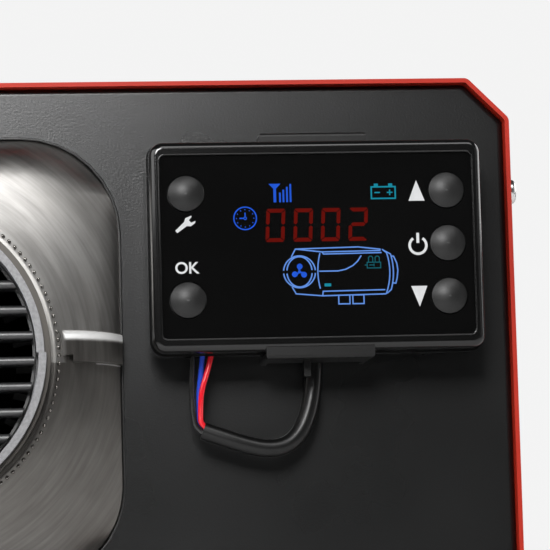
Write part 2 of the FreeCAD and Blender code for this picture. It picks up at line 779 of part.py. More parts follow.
def nozzle(spread):
    """Stepped outlet ring with a thin rim at the dome, turned about the outlet axis; spread opens its lip."""
    tip = -NOZZLE_REACH
    lip = tip + NOZZLE_STEP
    rim = -DOME_FRONT - NOZZLE_RIM_RISE
    end = 2 * SHELL_T - DOME_FRONT
    inner = NOZZLE_IN_R + spread
    lip_r = NOZZLE_LIP_R + spread
    profile = [(inner, tip), (lip_r, tip), (lip_r, lip), (NOZZLE_R, lip), (NOZZLE_R, rim),
               (NOZZLE_RIM_R, rim), (NOZZLE_RIM_R, end), (inner, end)]
    return turned(profile, OUTLET_X, PANEL_Y, OUTLET_Z, Y_AXIS)


def seam_band():
    """Proud band along the parting line of the dome, rounded on top, that laps over the lower shell."""
    front = PANEL_Y - NOZZLE_REACH
    back = PANEL_Y - SEAM_END
    reach = OPENING / 2
    top = OUTLET_Z + SEAM_RISE
    upper = box(OUTLET_X - reach, OUTLET_X + reach, front, back, OUTLET_Z, top)
    laps = [box(OUTLET_X + min(a, b), OUTLET_X + max(a, b), front, back, OUTLET_Z - SEAM_DROP, OUTLET_Z)
            for a, b in ((SEAM_NOTCH, reach), (-SEAM_NOTCH, -reach))]
    proud = heater_form(SEAM_PROUD, PANEL_Y + DOME_BACK + CUT)
    bar = proud.common(upper)
    ridge = [e for e in bar.Edges if all(abs(v.Z - top) < SAME for v in e.Vertexes)
             and min(e.BoundBox.XLength, e.BoundBox.YLength) > CUT]
    core = rod(OUTLET_X, front, OUTLET_Z, Y_AXIS, SEAM_START_R, NOZZLE_REACH)
    under = heater_form(-SHELL_T / 2, PANEL_Y + DOME_BACK + 2 * CUT)
    bar = bar.makeFillet(SEAM_ROUND, ridge).cut([under, core])
    lap_cut = heater_form(SEAM_LAP_GAP, PANEL_Y + DOME_BACK + 2 * CUT)
    laps = [proud.common(lap).cut(lap_cut) for lap in laps]
    return bar.fuse(laps)


def heater_shells():
    hollow = heater_form(-SHELL_T, HOOD_Y + CUT)
    mouth = rod(OUTLET_X, PANEL_Y - NOZZLE_REACH, OUTLET_Z, Y_AXIS, NOZZLE_IN_R, NOZZLE_REACH)
    form = heater_form(0, HOOD_Y)
    reach = 2 * BODY_HALF
    front = PANEL_Y - NOZZLE_REACH - CUT
    above = box(OUTLET_X - reach, OUTLET_X + reach, front, HOOD_Y + CUT, OUTLET_Z, OUTLET_Z + reach)
    below = box(OUTLET_X - reach, OUTLET_X + reach, front, HOOD_Y + CUT, OUTLET_Z - reach, OUTLET_Z)
    half = FOOTING_W / 2 + FOOTING_GAP
    footing = box(OUTLET_X - half, OUTLET_X + half, PANEL_Y + FOOTING_FRONT - FOOTING_GAP,
                  FLANGE_Y + FOOTING_GAP, OUTLET_Z - reach, OUTLET_Z - BODY_HALF / 2)
    upper = form.fuse(nozzle(0)).cut([hollow, mouth]).common(above).fuse(seam_band()).removeSplitter()
    lower = form.fuse(nozzle(NOZZLE_SPREAD)).cut([hollow, mouth]).common(below).cut(footing)
    return upper, lower


def outlet_grille():
    """Louvre insert in the outlet ring: level bars with rounded noses and a thin rim behind the noses."""
    front = PANEL_Y - NOZZLE_REACH + LOUVRE_SET_BACK
    rim_r = NOZZLE_IN_R - PIPE_FIT
    inside = rim_r - LOUVRE_RIM
    rim = pipe(OUTLET_X, front + LOUVRE_D / 2, OUTLET_Z, Y_AXIS, rim_r, inside, LOUVRE_D / 2)
    count = int((inside - LOUVRE_T) / LOUVRE_PITCH)
    bars = []
    for step in range(-count, count + 1):
        z = OUTLET_Z - LOUVRE_LOWER + step * LOUVRE_PITCH
        bar = box(OUTLET_X - rim_r, OUTLET_X + rim_r, front + LOUVRE_T / 2, front + LOUVRE_D,
                  z - LOUVRE_T / 2, z + LOUVRE_T / 2)
        nose = rod(OUTLET_X - rim_r, front + LOUVRE_T / 2, z, X_AXIS, LOUVRE_T / 2, 2 * rim_r)
        bars.append(bar.fuse(nose))
    limit = rod(OUTLET_X, front, OUTLET_Z, Y_AXIS, inside + LOUVRE_RIM / 2, LOUVRE_D)
    return rim.fuse([bar.common(limit) for bar in bars]).removeSplitter()


def inlet_hood():
    """Rear cover of the heater unit with a round air mouth and level bars."""
    plate = slab(OUTLET_X, OUTLET_Z, 2 * BODY_HALF, 2 * BODY_HALF, BODY_CORNER, HOOD_Y, HOOD_Y + HOOD_PLATE)
    mouth = rod(OUTLET_X, HOOD_Y, OUTLET_Z, Y_AXIS, HOOD_R, HOOD_L)
    bore = rod(OUTLET_X, HOOD_Y - CUT, OUTLET_Z, Y_AXIS, HOOD_BORE_R, HOOD_L + 2 * CUT)
    hood = plate.fuse(mouth).cut(bore)
    bars = []
    limit = rod(OUTLET_X, HOOD_Y, OUTLET_Z, Y_AXIS, (HOOD_R + HOOD_BORE_R) / 2, HOOD_PLATE)
    for count in range(HOOD_BARS):
        z = OUTLET_Z + (count - (HOOD_BARS - 1) / 2) * 2 * HOOD_BORE_R / HOOD_BARS
        bar = box(OUTLET_X - HOOD_R, OUTLET_X + HOOD_R, HOOD_Y, HOOD_Y + HOOD_PLATE,
                  z - HOOD_PLATE / 2, z + HOOD_PLATE / 2)
        bars.append(bar.common(limit))
    return hood.fuse(bars).removeSplitter()


# Heat exchanger, burner and blower
def stud_places():
    y = (PANEL_Y + FOOTING_FRONT + FLANGE_Y) / 2
    return [(OUTLET_X + sx * STUD_X, y + sy * STUD_Y) for sx in (-1, 1) for sy in (-1, 1)]


def heat_exchanger():
    """Finned casting with a closed front, a bored core and a footing with two stubs."""
    front = PANEL_Y + CORE_FRONT
    points = []
    for fin in range(FIN_COUNT):
        middle = 2 * math.pi * fin / FIN_COUNT
        for radius, side in ((CORE_R, -1), (FIN_R, -1), (FIN_R, 1), (CORE_R, 1)):
            angle = middle + side * FIN_T / 2 / radius
            x = OUTLET_X + radius * math.sin(angle)
            points.append(Vector(x, front, OUTLET_Z + radius * math.cos(angle)))
    fins = extruded(Part.makePolygon(points + [points[0]]), Vector(0, CORE_REAR - CORE_FRONT, 0))
    cap = turned([(0, CORE_FRONT - CORE_CAP), (CORE_CAP_R, CORE_FRONT - CORE_CAP), (CORE_R, CORE_FRONT),
                  (0, CORE_FRONT)], OUTLET_X, PANEL_Y, OUTLET_Z, Y_AXIS)
    bottom = OUTLET_Z - FOOTING_DROP
    footing = box(OUTLET_X - FOOTING_W / 2, OUTLET_X + FOOTING_W / 2, PANEL_Y + FOOTING_FRONT, FLANGE_Y,
                  bottom, OUTLET_Z - CORE_R / 2)
    length = STUB_L + GASKET_T + SHEET
    stubs = [rod(OUTLET_X, PANEL_Y + at, bottom - length, Z_AXIS, STUB_R, length + CUT)
             for at in (EXHAUST_AT, INTAKE_AT)]
    bore = rod(OUTLET_X, front + CORE_CAP / 2, OUTLET_Z, Y_AXIS, CORE_BORE_R, CORE_REAR)
    ducts = [rod(OUTLET_X, PANEL_Y + at, bottom - length - CUT, Z_AXIS, STUB_R - STUB_WALL,
                 length + FOOTING_DROP - CORE_R) for at in (EXHAUST_AT, INTAKE_AT)]
    taps = [rod(x, y, bottom - CUT, Z_AXIS, STUD_R, 4 * STUD_R + CUT) for x, y in stud_places()]
    return fins.fuse([cap, footing] + stubs).cut([bore] + ducts + taps)


def burner_tube():
    start = FLANGE_Y - BURNER_L
    sleeve = pipe(OUTLET_X, start, OUTLET_Z, Y_AXIS, BURNER_R, BURNER_R - BURNER_WALL, BURNER_L)
    flange = rod(OUTLET_X, FLANGE_Y, OUTLET_Z, Y_AXIS, FLANGE_R, FLANGE_T)
    eye = rod(OUTLET_X, FLANGE_Y - CUT, OUTLET_Z, Y_AXIS, HOUSING_EYE_R, FLANGE_T + 2 * CUT)
    plug = rod(OUTLET_X, FLANGE_Y - CUT, OUTLET_Z + GLOW_OFFSET, Y_AXIS, GLOW_R + SCREW_HOLE_GAP,
               FLANGE_T + 2 * CUT)
    return sleeve.fuse(flange).cut([eye, plug])


def glow_plug():
    y = FLANGE_Y + FLANGE_T - GLOW_L
    z = OUTLET_Z + GLOW_OFFSET
    tip = rod(OUTLET_X, y, z, Y_AXIS, GLOW_R, GLOW_L)
    return tip.fuse(rod(OUTLET_X, HOUSING_Y, z, Y_AXIS, GLOW_HEAD_R, GLOW_HEAD_L)).removeSplitter()


def combustion_housing():
    outer = rod(OUTLET_X, HOUSING_Y, OUTLET_Z, Y_AXIS, FLANGE_R, HOUSING_L)
    cavity = rod(OUTLET_X, HOUSING_Y + HOUSING_WALL, OUTLET_Z, Y_AXIS, FLANGE_R - HOUSING_WALL,
                 HOUSING_L - HOUSING_WALL - HOUSING_BACK)
    eye = rod(OUTLET_X, HOUSING_Y - CUT, OUTLET_Z, Y_AXIS, HOUSING_EYE_R, HOUSING_WALL + 2 * CUT)
    plug = rod(OUTLET_X, HOUSING_Y - CUT, OUTLET_Z + GLOW_OFFSET, Y_AXIS, GLOW_HEAD_R + SCREW_HOLE_GAP,
               HOUSING_WALL + 2 * CUT)
    shaft = rod(OUTLET_X, HOUSING_Y, OUTLET_Z, Y_AXIS, SHAFT_R + CUT, HOUSING_L + CUT)
    return outer.cut([cavity, eye, plug, shaft])


def blower_motor():
    can = rod(OUTLET_X, MOTOR_Y, OUTLET_Z, Y_AXIS, MOTOR_R, MOTOR_L)
    can = can.makeFillet(MOTOR_R / 10, edges_at_y(can, MOTOR_Y + MOTOR_L))
    return can.cut(rod(OUTLET_X, MOTOR_Y - CUT, OUTLET_Z, Y_AXIS, SHAFT_R + SHAFT_FIT, MOTOR_L + 2 * CUT))


def motor_shaft():
    start = HOUSING_Y + HOUSING_WALL + 2 * FAN_GAP
    return rod(OUTLET_X, start, OUTLET_Z, Y_AXIS, SHAFT_R, FAN_Y + FAN_L - start)


def combustion_impeller():
    """Back plate with straight radial vanes on a hub."""
    back = HOUSING_Y + HOUSING_L - HOUSING_BACK - FAN_GAP / 2
    plate_t = FAN_BLADE_T
    depth = HOUSING_L - HOUSING_WALL - HOUSING_BACK - 3 * FAN_GAP
    hub_r = 3 * SHAFT_R
    plate = rod(OUTLET_X, back - plate_t, OUTLET_Z, Y_AXIS, IMPELLER_R, plate_t)
    hub = rod(OUTLET_X, back - plate_t - depth, OUTLET_Z, Y_AXIS, hub_r, depth + plate_t)
    vanes = []
    for count in range(IMPELLER_VANES):
        vane = box(OUTLET_X + hub_r - CUT, OUTLET_X + IMPELLER_R - CUT, back - plate_t - depth,
                   back - plate_t / 2, OUTLET_Z - plate_t / 2, OUTLET_Z + plate_t / 2)
        vane.rotate(Vector(OUTLET_X, back, OUTLET_Z), Y_AXIS, 360.0 * count / IMPELLER_VANES)
        vanes.append(vane)
    bore = rod(OUTLET_X, back - plate_t - depth - CUT, OUTLET_Z, Y_AXIS, SHAFT_R + HUB_FIT, HOUSING_L)
    return plate.fuse([hub] + vanes).cut(bore)


def fan_blade_section(radius, pitch):
    """Flat blade section at a radius, chord set at the pitch angle to the plane of rotation."""
    chord = FAN_L / math.sin(math.radians(FAN_ROOT_PITCH)) * FAN_CHORD_SHARE
    angle = math.radians(pitch)
    along = Vector(0, math.sin(angle), math.cos(angle))
    across = Vector(0, math.cos(angle), -math.sin(angle))
    centre = Vector(OUTLET_X + radius, FAN_Y + FAN_L / 2, OUTLET_Z)
    corners = [(-1, -1), (1, -1), (1, 1), (-1, 1)]
    points = [centre + along * (a * chord / 2) + across * (b * FAN_BLADE_T / 2) for a, b in corners]
    return Part.makePolygon(points + [points[0]])


def hot_air_fan():
    """Axial fan: a domed hub and blades whose pitch falls from root to tip."""
    hub = rod(OUTLET_X, FAN_Y, OUTLET_Z, Y_AXIS, FAN_HUB_R, FAN_L)
    hub = hub.makeFillet(FAN_HUB_R / 4, edges_at_y(hub, FAN_Y + FAN_L))
    blade = Part.makeLoft([fan_blade_section(FAN_HUB_R - FAN_BLADE_T, FAN_ROOT_PITCH),
                           fan_blade_section(FAN_R, FAN_TIP_PITCH)], True, True)
    blades = []
    for count in range(FAN_BLADES):
        copy = blade.copy()
        copy.rotate(Vector(OUTLET_X, FAN_Y, OUTLET_Z), Y_AXIS, 360.0 * count / FAN_BLADES)
        blades.append(copy)
    bore = rod(OUTLET_X, FAN_Y - CUT, OUTLET_Z, Y_AXIS, SHAFT_R + HUB_FIT, FAN_L + 2 * CUT)
    return hub.fuse(blades).cut(bore)


def control_unit():
    top = OUTLET_Z + BODY_HALF - SHELL_T
    start = HOUSING_Y + HOUSING_WALL
    return box(OUTLET_X - ECU_W / 2, OUTLET_X + ECU_W / 2, start, start + ECU_L, top - ECU_H, top)


# Shelf, gasket and lines under the heater unit
def heater_shelf():
    """Folded shelf on two legs with feet turned in, spanning the heater bay."""
    left = -CASE_HALF + 2 * SHEET + CUT
    right = SHELF_RIGHT
    foot_top = FLOOR_Z + SHEET
    under = SHELF_Z - SHEET
    outer = [(left, FLOOR_Z), (left, SHELF_Z), (right, SHELF_Z), (right, FLOOR_Z),
             (right - SHELF_FOOT, FLOOR_Z), (right - SHELF_FOOT, foot_top), (right - SHEET, foot_top),
             (right - SHEET, under), (left + SHEET, under), (left + SHEET, foot_top),
             (left + SHELF_FOOT, foot_top), (left + SHELF_FOOT, FLOOR_Z)]
    points = [Vector(x, PANEL_Y + SHELF_FRONT, z) for x, z in outer]
    radii = [0, BEND_R, BEND_R, 0, 0, 0, 0, BEND_R - SHEET, BEND_R - SHEET, 0, 0, 0]
    shelf = extruded(outline(points, radii), Vector(0, SHELF_REAR - SHELF_FRONT, 0))
    z = under - CUT
    through = SHEET + 2 * CUT
    holes = [rod(OUTLET_X, PANEL_Y + at, z, Z_AXIS, STUB_R + SHELF_GAP, through)
             for at in (EXHAUST_AT, INTAKE_AT)]
    holes += [rod(x, y, z, Z_AXIS, STUD_R + SCREW_HOLE_GAP, through) for x, y in stud_places()]
    holes.append(rod(left - CUT, PANEL_Y + INTAKE_AT, INTAKE_Z, X_AXIS, FILTER_R, through))
    hose_hole = FUEL_HOSE_R + SHELF_GAP
    holes.append(rod(right - SHEET - CUT, PANEL_Y + SPIGOT_AT, FUEL_Z, X_AXIS, hose_hole, through))
    holes.append(rod(FUEL_INLET_X, FUEL_INLET_Y, z, Z_AXIS, FUEL_HOSE_R + SCREW_HOLE_GAP, through))
    return shelf.cut(holes)


def base_gasket():
    sheet = box(OUTLET_X - FOOTING_W / 2, OUTLET_X + FOOTING_W / 2, PANEL_Y + FOOTING_FRONT, FLANGE_Y,
                SHELF_Z, SHELF_Z + GASKET_T)
    z = SHELF_Z - CUT
    through = GASKET_T + 2 * CUT
    holes = [rod(OUTLET_X, PANEL_Y + at, z, Z_AXIS, STUB_R + SCREW_HOLE_GAP, through)
             for at in (EXHAUST_AT, INTAKE_AT)]
    holes += [rod(x, y, z, Z_AXIS, STUD_R + SCREW_HOLE_GAP, through) for x, y in stud_places()]
    holes.append(rod(FUEL_INLET_X, FUEL_INLET_Y, z, Z_AXIS, FUEL_HOSE_R + SCREW_HOLE_GAP, through))
    return sheet.cut(holes)


def base_nuts():
    """Studs that hold the heater unit down, each with its nut under the shelf."""
    nuts = []
    for x, y in stud_places():
        under = SHELF_Z - SHEET
        below = NUT_H + STUD_R / 2
        stud = rod(x, y, under - below, Z_AXIS, STUD_R, below + SHEET + GASKET_T + 3 * STUD_R)
        nut = extruded(hexagon(x, y, under - NUT_H, NUT_R, X_AXIS, Y_AXIS), Vector(0, 0, NUT_H))
        nuts.append(nut.fuse(stud))
    return group(nuts)


def exhaust_pipe():
    inner = STUB_R + PIPE_FIT
    top = SHELF_Z - SHEET - LINE_GAP
    points = [Vector(OUTLET_X, PANEL_Y + EXHAUST_AT, top), Vector(OUTLET_X, PANEL_Y + EXHAUST_AT, MUFFLER_Z),
              Vector(OUTLET_X, PANEL_Y + MUFFLER_AT - LINE_GAP, MUFFLER_Z)]
    return tube("exhaust_pipe", points, inner + PIPE_WALL, inner, [PIPE_BEND])


def exhaust_clamps():
    inner = STUB_R + PIPE_FIT + PIPE_WALL + HUB_FIT
    top = SHELF_Z - SHEET - LINE_GAP - CLAMP_W - LINE_GAP
    upper = pipe(OUTLET_X, PANEL_Y + EXHAUST_AT, top, Z_AXIS, inner + CLAMP_T, inner, CLAMP_W)
    rear = PANEL_Y + MUFFLER_AT - 2 * LINE_GAP - CLAMP_W
    lower = pipe(OUTLET_X, rear, MUFFLER_Z, Y_AXIS, inner + CLAMP_T, inner, CLAMP_W)
    return group([upper, lower])


def muffler():
    """Can with a stub at each end."""
    start = PANEL_Y + MUFFLER_AT
    can = rod(OUTLET_X, start, MUFFLER_Z, Y_AXIS, MUFFLER_R, MUFFLER_L)
    can = can.makeFillet(MUFFLER_R / 5, edges_at_y(can, start) + edges_at_y(can, start + MUFFLER_L))
    hollow = rod(OUTLET_X, start + PIPE_WALL, MUFFLER_Z, Y_AXIS, MUFFLER_R - PIPE_WALL,
                 MUFFLER_L - 2 * PIPE_WALL)
    hollow = hollow.makeFillet(MUFFLER_R / 5, hollow.Edges)
    length = MUFFLER_L + 2 * MUFFLER_STUB + 2 * CUT
    stub = rod(OUTLET_X, start - MUFFLER_STUB, MUFFLER_Z, Y_AXIS, STUB_R, MUFFLER_STUB + CUT)
    outlet_r = STUB_R - PIPE_WALL - PIPE_FIT
    outlet = rod(OUTLET_X, start + MUFFLER_L - CUT, MUFFLER_Z, Y_AXIS, outlet_r, MUFFLER_STUB + CUT)
    bore = rod(OUTLET_X, start - MUFFLER_STUB - CUT, MUFFLER_Z, Y_AXIS, outlet_r - PIPE_WALL, length)
    return can.fuse([stub, outlet]).cut([hollow, bore])


def tail_pipe():
    """Straight pipe from the muffler through the rear panel, with a rolled stop bead outside it."""
    start = PANEL_Y + MUFFLER_AT + MUFFLER_L + LINE_GAP / 2
    length = REAR_Y + TAIL_REACH - start
    barrel = rod(OUTLET_X, start, MUFFLER_Z, Y_AXIS, STUB_R, length)
    bead = rod(OUTLET_X, REAR_Y - TAIL_BEAD_L, MUFFLER_Z, Y_AXIS, TAIL_BEAD_R, TAIL_BEAD_L)
    bead = bead.makeFillet(TAIL_BEAD_L / 3, bead.Edges)
    bore = rod(OUTLET_X, start - CUT, MUFFLER_Z, Y_AXIS, STUB_R - PIPE_WALL, length + 2 * CUT)
    return barrel.fuse(bead).cut(bore)


def intake_hose():
    inner = STUB_R + PIPE_FIT
    top = SHELF_Z - SHEET - LINE_GAP
    end = OUTLET_X - HOSE_BEND - 2 * LINE_GAP - STUB_R
    points = [Vector(OUTLET_X, PANEL_Y + INTAKE_AT, top), Vector(OUTLET_X, PANEL_Y + INTAKE_AT, INTAKE_Z),
              Vector(end, PANEL_Y + INTAKE_AT, INTAKE_Z)]
    return tube("intake_hose", points, inner + HOSE_WALL, inner, [HOSE_BEND])


def intake_filter():
    """Short silencer on the end of the air hose, with a spigot in the hose and an open mouth."""
    end = OUTLET_X - HOSE_BEND - 2 * LINE_GAP - STUB_R
    y = PANEL_Y + INTAKE_AT
    body = rod(end, y, INTAKE_Z, -X_AXIS, FILTER_R - CUT, FILTER_L)
    spigot = rod(end - CUT, y, INTAKE_Z, X_AXIS, STUB_R, STUB_R + CUT)
    cavity = rod(end - HOSE_WALL, y, INTAKE_Z, -X_AXIS, FILTER_R - CUT - HOSE_WALL, FILTER_L)
    bore = rod(end - FILTER_L, y, INTAKE_Z, X_AXIS, STUB_R - HOSE_WALL, 2 * FILTER_L)
    return body.fuse(spigot).cut([cavity, bore])


# Fuel system
def fuel_tank():
    """Blow-moulded tank, hollow, with a filler hole on top and a spigot low on its left side."""
    def block(inset):
        y0 = PANEL_Y + TANK_FRONT + inset
        y1 = PANEL_Y + TANK_REAR - inset
        z0 = FLOOR_Z + inset
        z1 = TANK_TOP - inset
        points = [Vector(TANK_X + inset, y, z) for y, z in ((y0, z0), (y1, z0), (y1, z1), (y0, z1))]
        return extruded(outline(points, [TANK_R - inset] * 4), Vector(TANK_W - 2 * inset, 0, 0))

    filler = rod(NECK_X, PANEL_Y + NECK_AT, TANK_TOP - TANK_WALL - CUT, Z_AXIS, NECK_R - NECK_WALL,
                 TANK_WALL + 2 * CUT)
    y = PANEL_Y + SPIGOT_AT
    spigot = rod(TANK_X - SPIGOT_L, y, FUEL_Z, X_AXIS, SPIGOT_R, SPIGOT_L + CUT)
    bore = rod(TANK_X - SPIGOT_L - CUT, y, FUEL_Z, X_AXIS, SPIGOT_R / 2, SPIGOT_L + TANK_WALL + 2 * CUT)
    return block(0).cut([block(TANK_WALL), filler]).fuse(spigot).cut(bore)


def filler_neck():
    """Flanged tube from the tank up through the case top."""
    bore = NECK_R - NECK_WALL
    rise = NECK_TOP - TANK_TOP
    profile = [(bore, 0), (NECK_FLANGE_R, 0), (NECK_FLANGE_R, NECK_FLANGE_T), (NECK_R, NECK_FLANGE_T),
               (NECK_R, rise), (bore, rise)]
    return turned(profile, NECK_X, PANEL_Y + NECK_AT, TANK_TOP, Z_AXIS)


def neck_collar():
    """Rubber collar between the neck and the case top."""
    inner = NECK_R + COLLAR_FIT
    sleeve = COLLAR_HOLE_R - COLLAR_FIT
    profile = [(inner, -SHEET - COLLAR_T), (sleeve, -SHEET - COLLAR_T), (sleeve, 0), (COLLAR_R, 0),
               (COLLAR_R, COLLAR_T), (inner, COLLAR_T)]
    return turned(profile, NECK_X, PANEL_Y + NECK_AT, TOP_Z, Z_AXIS)


def fuel_cap():
    """Screw cap with finger grips, closed on its seal."""
    bottom = TOP_Z + CAP_GAP
    inner = NECK_R + CAP_FIT
    ceiling = NECK_TOP + SEAL_T
    y = PANEL_Y + NECK_AT
    cap = rod(NECK_X, y, bottom, Z_AXIS, CAP_R, CAP_H)
    top_edge = [e for e in cap.Edges if all(abs(v.Z - bottom - CAP_H) < SAME for v in e.Vertexes)]
    cap = cap.makeFillet(CAP_R / 12, top_edge)
    cuts = [rod(NECK_X, y, bottom - CUT, Z_AXIS, inner, ceiling - bottom + CUT)]
    for grip in range(CAP_GRIPS):
        angle = 2 * math.pi * grip / CAP_GRIPS
        reach = CAP_R + CAP_GRIP_OUT
        cuts.append(rod(NECK_X + reach * math.cos(angle), y + reach * math.sin(angle), bottom - CUT, Z_AXIS,
                        CAP_GRIP_R, CAP_H + 2 * CUT))
    return cap.cut(cuts)


def cap_seal():
    return pipe(NECK_X, PANEL_Y + NECK_AT, NECK_TOP, Z_AXIS, SEAL_R, SEAL_BORE_R, SEAL_T)


def tank_strap():
    y0 = PANEL_Y + STRAP_AT - STRAP_W / 2
    y1 = y0 + STRAP_W
    right = TANK_X + TANK_W
    outer = box(TANK_X - STRAP_T, right + STRAP_T, y0, y1, FLOOR_Z, TANK_TOP + STRAP_T)
    return outer.cut(box(TANK_X, right, y0 - CUT, y1 + CUT, FLOOR_Z - CUT, TANK_TOP))


def fuel_filter():
    start = PANEL_Y + FUEL_FILTER_AT
    barb = SPIGOT_L
    body = [(0, -barb), (SPIGOT_R, -barb), (SPIGOT_R, 0), (FUEL_FILTER_R, SPIGOT_R),
            (FUEL_FILTER_R, FUEL_FILTER_L - SPIGOT_R), (SPIGOT_R, FUEL_FILTER_L),
            (SPIGOT_R, FUEL_FILTER_L + barb), (0, FUEL_FILTER_L + barb)]
    return turned(body, FUEL_X, start, FUEL_Z, Y_AXIS)


def fuel_pump():
    start = PANEL_Y + PUMP_AT
    neck = PUMP_R / 2
    profile = [(0, -SPIGOT_L), (SPIGOT_R, -SPIGOT_L), (SPIGOT_R, 0), (neck, 0), (neck, neck), (PUMP_R, neck),
               (PUMP_R, PUMP_L - neck), (neck, PUMP_L - neck), (neck, PUMP_L), (SPIGOT_R, PUMP_L),
               (SPIGOT_R, PUMP_L + SPIGOT_L), (0, PUMP_L + SPIGOT_L)]
    return turned(profile, FUEL_X, start, FUEL_Z, Y_AXIS)


def pump_clamp():
    """Rubber-lined clip round the pump on a leg that stands on the tray."""
    y0 = PANEL_Y + PUMP_AT + PUMP_L / 2 - PUMP_CLAMP_W / 2
    inner = PUMP_R + PIPE_FIT
    outer = inner + PUMP_CLAMP_T
    y1 = y0 + PUMP_CLAMP_W
    leg_top = FUEL_Z - inner - PUMP_CLAMP_T / 2
    leg = box(FUEL_X - PUMP_CLAMP_T, FUEL_X + PUMP_CLAMP_T, y0, y1, FLOOR_Z, leg_top)
    foot = box(FUEL_X - PUMP_R / 2, FUEL_X + PUMP_R / 2, y0, y1, FLOOR_Z, FLOOR_Z + PUMP_CLAMP_T)
    return pipe(FUEL_X, y0, FUEL_Z, Y_AXIS, outer, inner, PUMP_CLAMP_W).fuse([leg, foot]).removeSplitter()


def fuel_hoses():
    """Three soft lines: tank to filter, filter to pump, pump to the burner."""
    bore = SPIGOT_R + PIPE_FIT
    tank_y = PANEL_Y + SPIGOT_AT
    filter_end = PANEL_Y + FUEL_FILTER_AT + FUEL_FILTER_L + LINE_GAP
    from_tank = [Vector(TANK_X - LINE_GAP, tank_y, FUEL_Z), Vector(FUEL_X, tank_y, FUEL_Z),
                 Vector(FUEL_X, filter_end, FUEL_Z)]
    pump_end = PANEL_Y + PUMP_AT - LINE_GAP
    to_burner = [Vector(FUEL_X, pump_end, FUEL_Z), Vector(FUEL_X, pump_end - FUEL_RUN, FUEL_Z)]
    to_burner += [Vector(FUEL_X - x, pump_end - y, FUEL_Z + z) for x, y, z in FUEL_LOOP]
    to_burner += [Vector(FUEL_INLET_X, FUEL_INLET_Y, z) for z in (SHELF_Z - FUEL_RISE, SHELF_Z + GASKET_T)]
    pump_back = PANEL_Y + PUMP_AT + PUMP_L + LINE_GAP
    middle = pipe(FUEL_X, pump_back, FUEL_Z, Y_AXIS, FUEL_HOSE_R, bore,
                  PANEL_Y + FUEL_FILTER_AT - LINE_GAP - pump_back)
    return group([tube("fuel line from tank", from_tank, FUEL_HOSE_R, bore, [FUEL_HOSE_R * 2]), middle,
                  tube("fuel line to burner", to_burner, FUEL_HOSE_R, bore)])


# Controller
def ctrl_slab(width, height, radius, y0, y1):
    return slab(CTRL_X, CTRL_Z, width, height, radius, y0, y1)


def lower_lip(grow):
    """Arm under the controller with a lip that hooks over the frame's lower slope, grown by a gap."""
    half = CTRL_H / 2 + BACK_OVER + CLIP_GAP
    inner = -half + grow
    outer = -half - CLIP_T - grow
    lip = -CTRL_H / 2 + CLIP_LIP + grow
    width = CLIP_W + 2 * grow
    profile = [(CLIP_Y + CUT, inner), (FACE_Y + CTRL_BEVEL_D + grow, inner),
               (FACE_Y + CLIP_LIP_T + grow, lip), (FACE_Y, lip), (FACE_Y, outer), (CLIP_Y + CUT, outer)]
    points = [Vector(CTRL_X - width / 2, y, CTRL_Z + z) for y, z in profile]
    return extruded(Part.makePolygon(points + [points[0]]), Vector(width, 0, 0))


def controller_bracket():
    """Clip on the panel: a plate on two legs, a lipped arm below, a tab above and a release tongue."""
    half = CTRL_H / 2 + BACK_OVER + CLIP_GAP
    low = CTRL_Z - half - CLIP_T
    high = CTRL_Z + half + CLIP_TOP_T
    x0 = CTRL_X - CLIP_W / 2
    x1 = CTRL_X + CLIP_W / 2
    legs = [box(x, x + CLIP_PLATE, CLIP_Y, PANEL_Y, low, high) for x in (x0, x1 - CLIP_PLATE)]
    tab = box(x0, x1, SEAM_Y - CLIP_TOP_REACH, CLIP_Y + CUT, CTRL_Z + half, high)
    plate = box(x0, x1, CLIP_Y, CLIP_Y + CLIP_PLATE, low, high)
    clip = plate.fuse(legs + [tab, lower_lip(0)]).removeSplitter()
    corners = [e for e in clip.Edges
               if all(min(abs(v.Z - low), abs(v.Z - high)) < SAME for v in e.Vertexes)
               and all(abs(abs(v.X - CTRL_X) - CLIP_W / 2) < SAME for v in e.Vertexes)
               and e.Length > CLIP_TOP_T]
    x = CTRL_X + TONGUE_X
    tongue = box(x - TONGUE_W / 2, x + TONGUE_W / 2, SEAM_Y, SEAM_Y + TONGUE_D, low - TONGUE_L, low + CUT)
    return clip.makeFillet(CLIP_CORNER, corners).fuse(tongue).removeSplitter()


def lead_slot():
    x = CTRL_X - CTRL_W / 2 + LEAD_SLOT_INSET
    y = PANEL_Y - LEAD_Y
    return box(x - LEAD_SLOT_W / 2, x + LEAD_SLOT_W / 2, y - LEAD_SLOT_H / 2, y + LEAD_SLOT_H / 2,
               CTRL_Z - CTRL_H / 2 - BACK_OVER - CUT, CTRL_Z - CTRL_H / 2 + BACK_WALL)


def controller_back():
    """Rear cup with bosses for the board and a slot for the wires."""
    width = CTRL_W + 2 * BACK_OVER
    height = CTRL_H + 2 * BACK_OVER
    cup = ctrl_slab(width, height, CTRL_R + BACK_OVER, SEAM_Y, CLIP_Y)
    hollow = ctrl_slab(width - 2 * BACK_WALL, height - 2 * BACK_WALL, CTRL_R, SEAM_Y - CUT,
                       CLIP_Y - BACK_WALL)
    cup = cup.cut([hollow, lead_slot()])
    bosses = []
    for sx in (-1, 1):
        for sz in (-1, 1):
            x = CTRL_X + sx * (LENS_W / 2 - 2 * BOSS_R)
            z = CTRL_Z + sz * (LENS_H / 2 - 2 * BOSS_R)
            bosses.append(rod(x, PCB_BACK, z, Y_AXIS, BOSS_R, BOSS_L + BACK_WALL / 2))
    return cup.fuse(bosses)


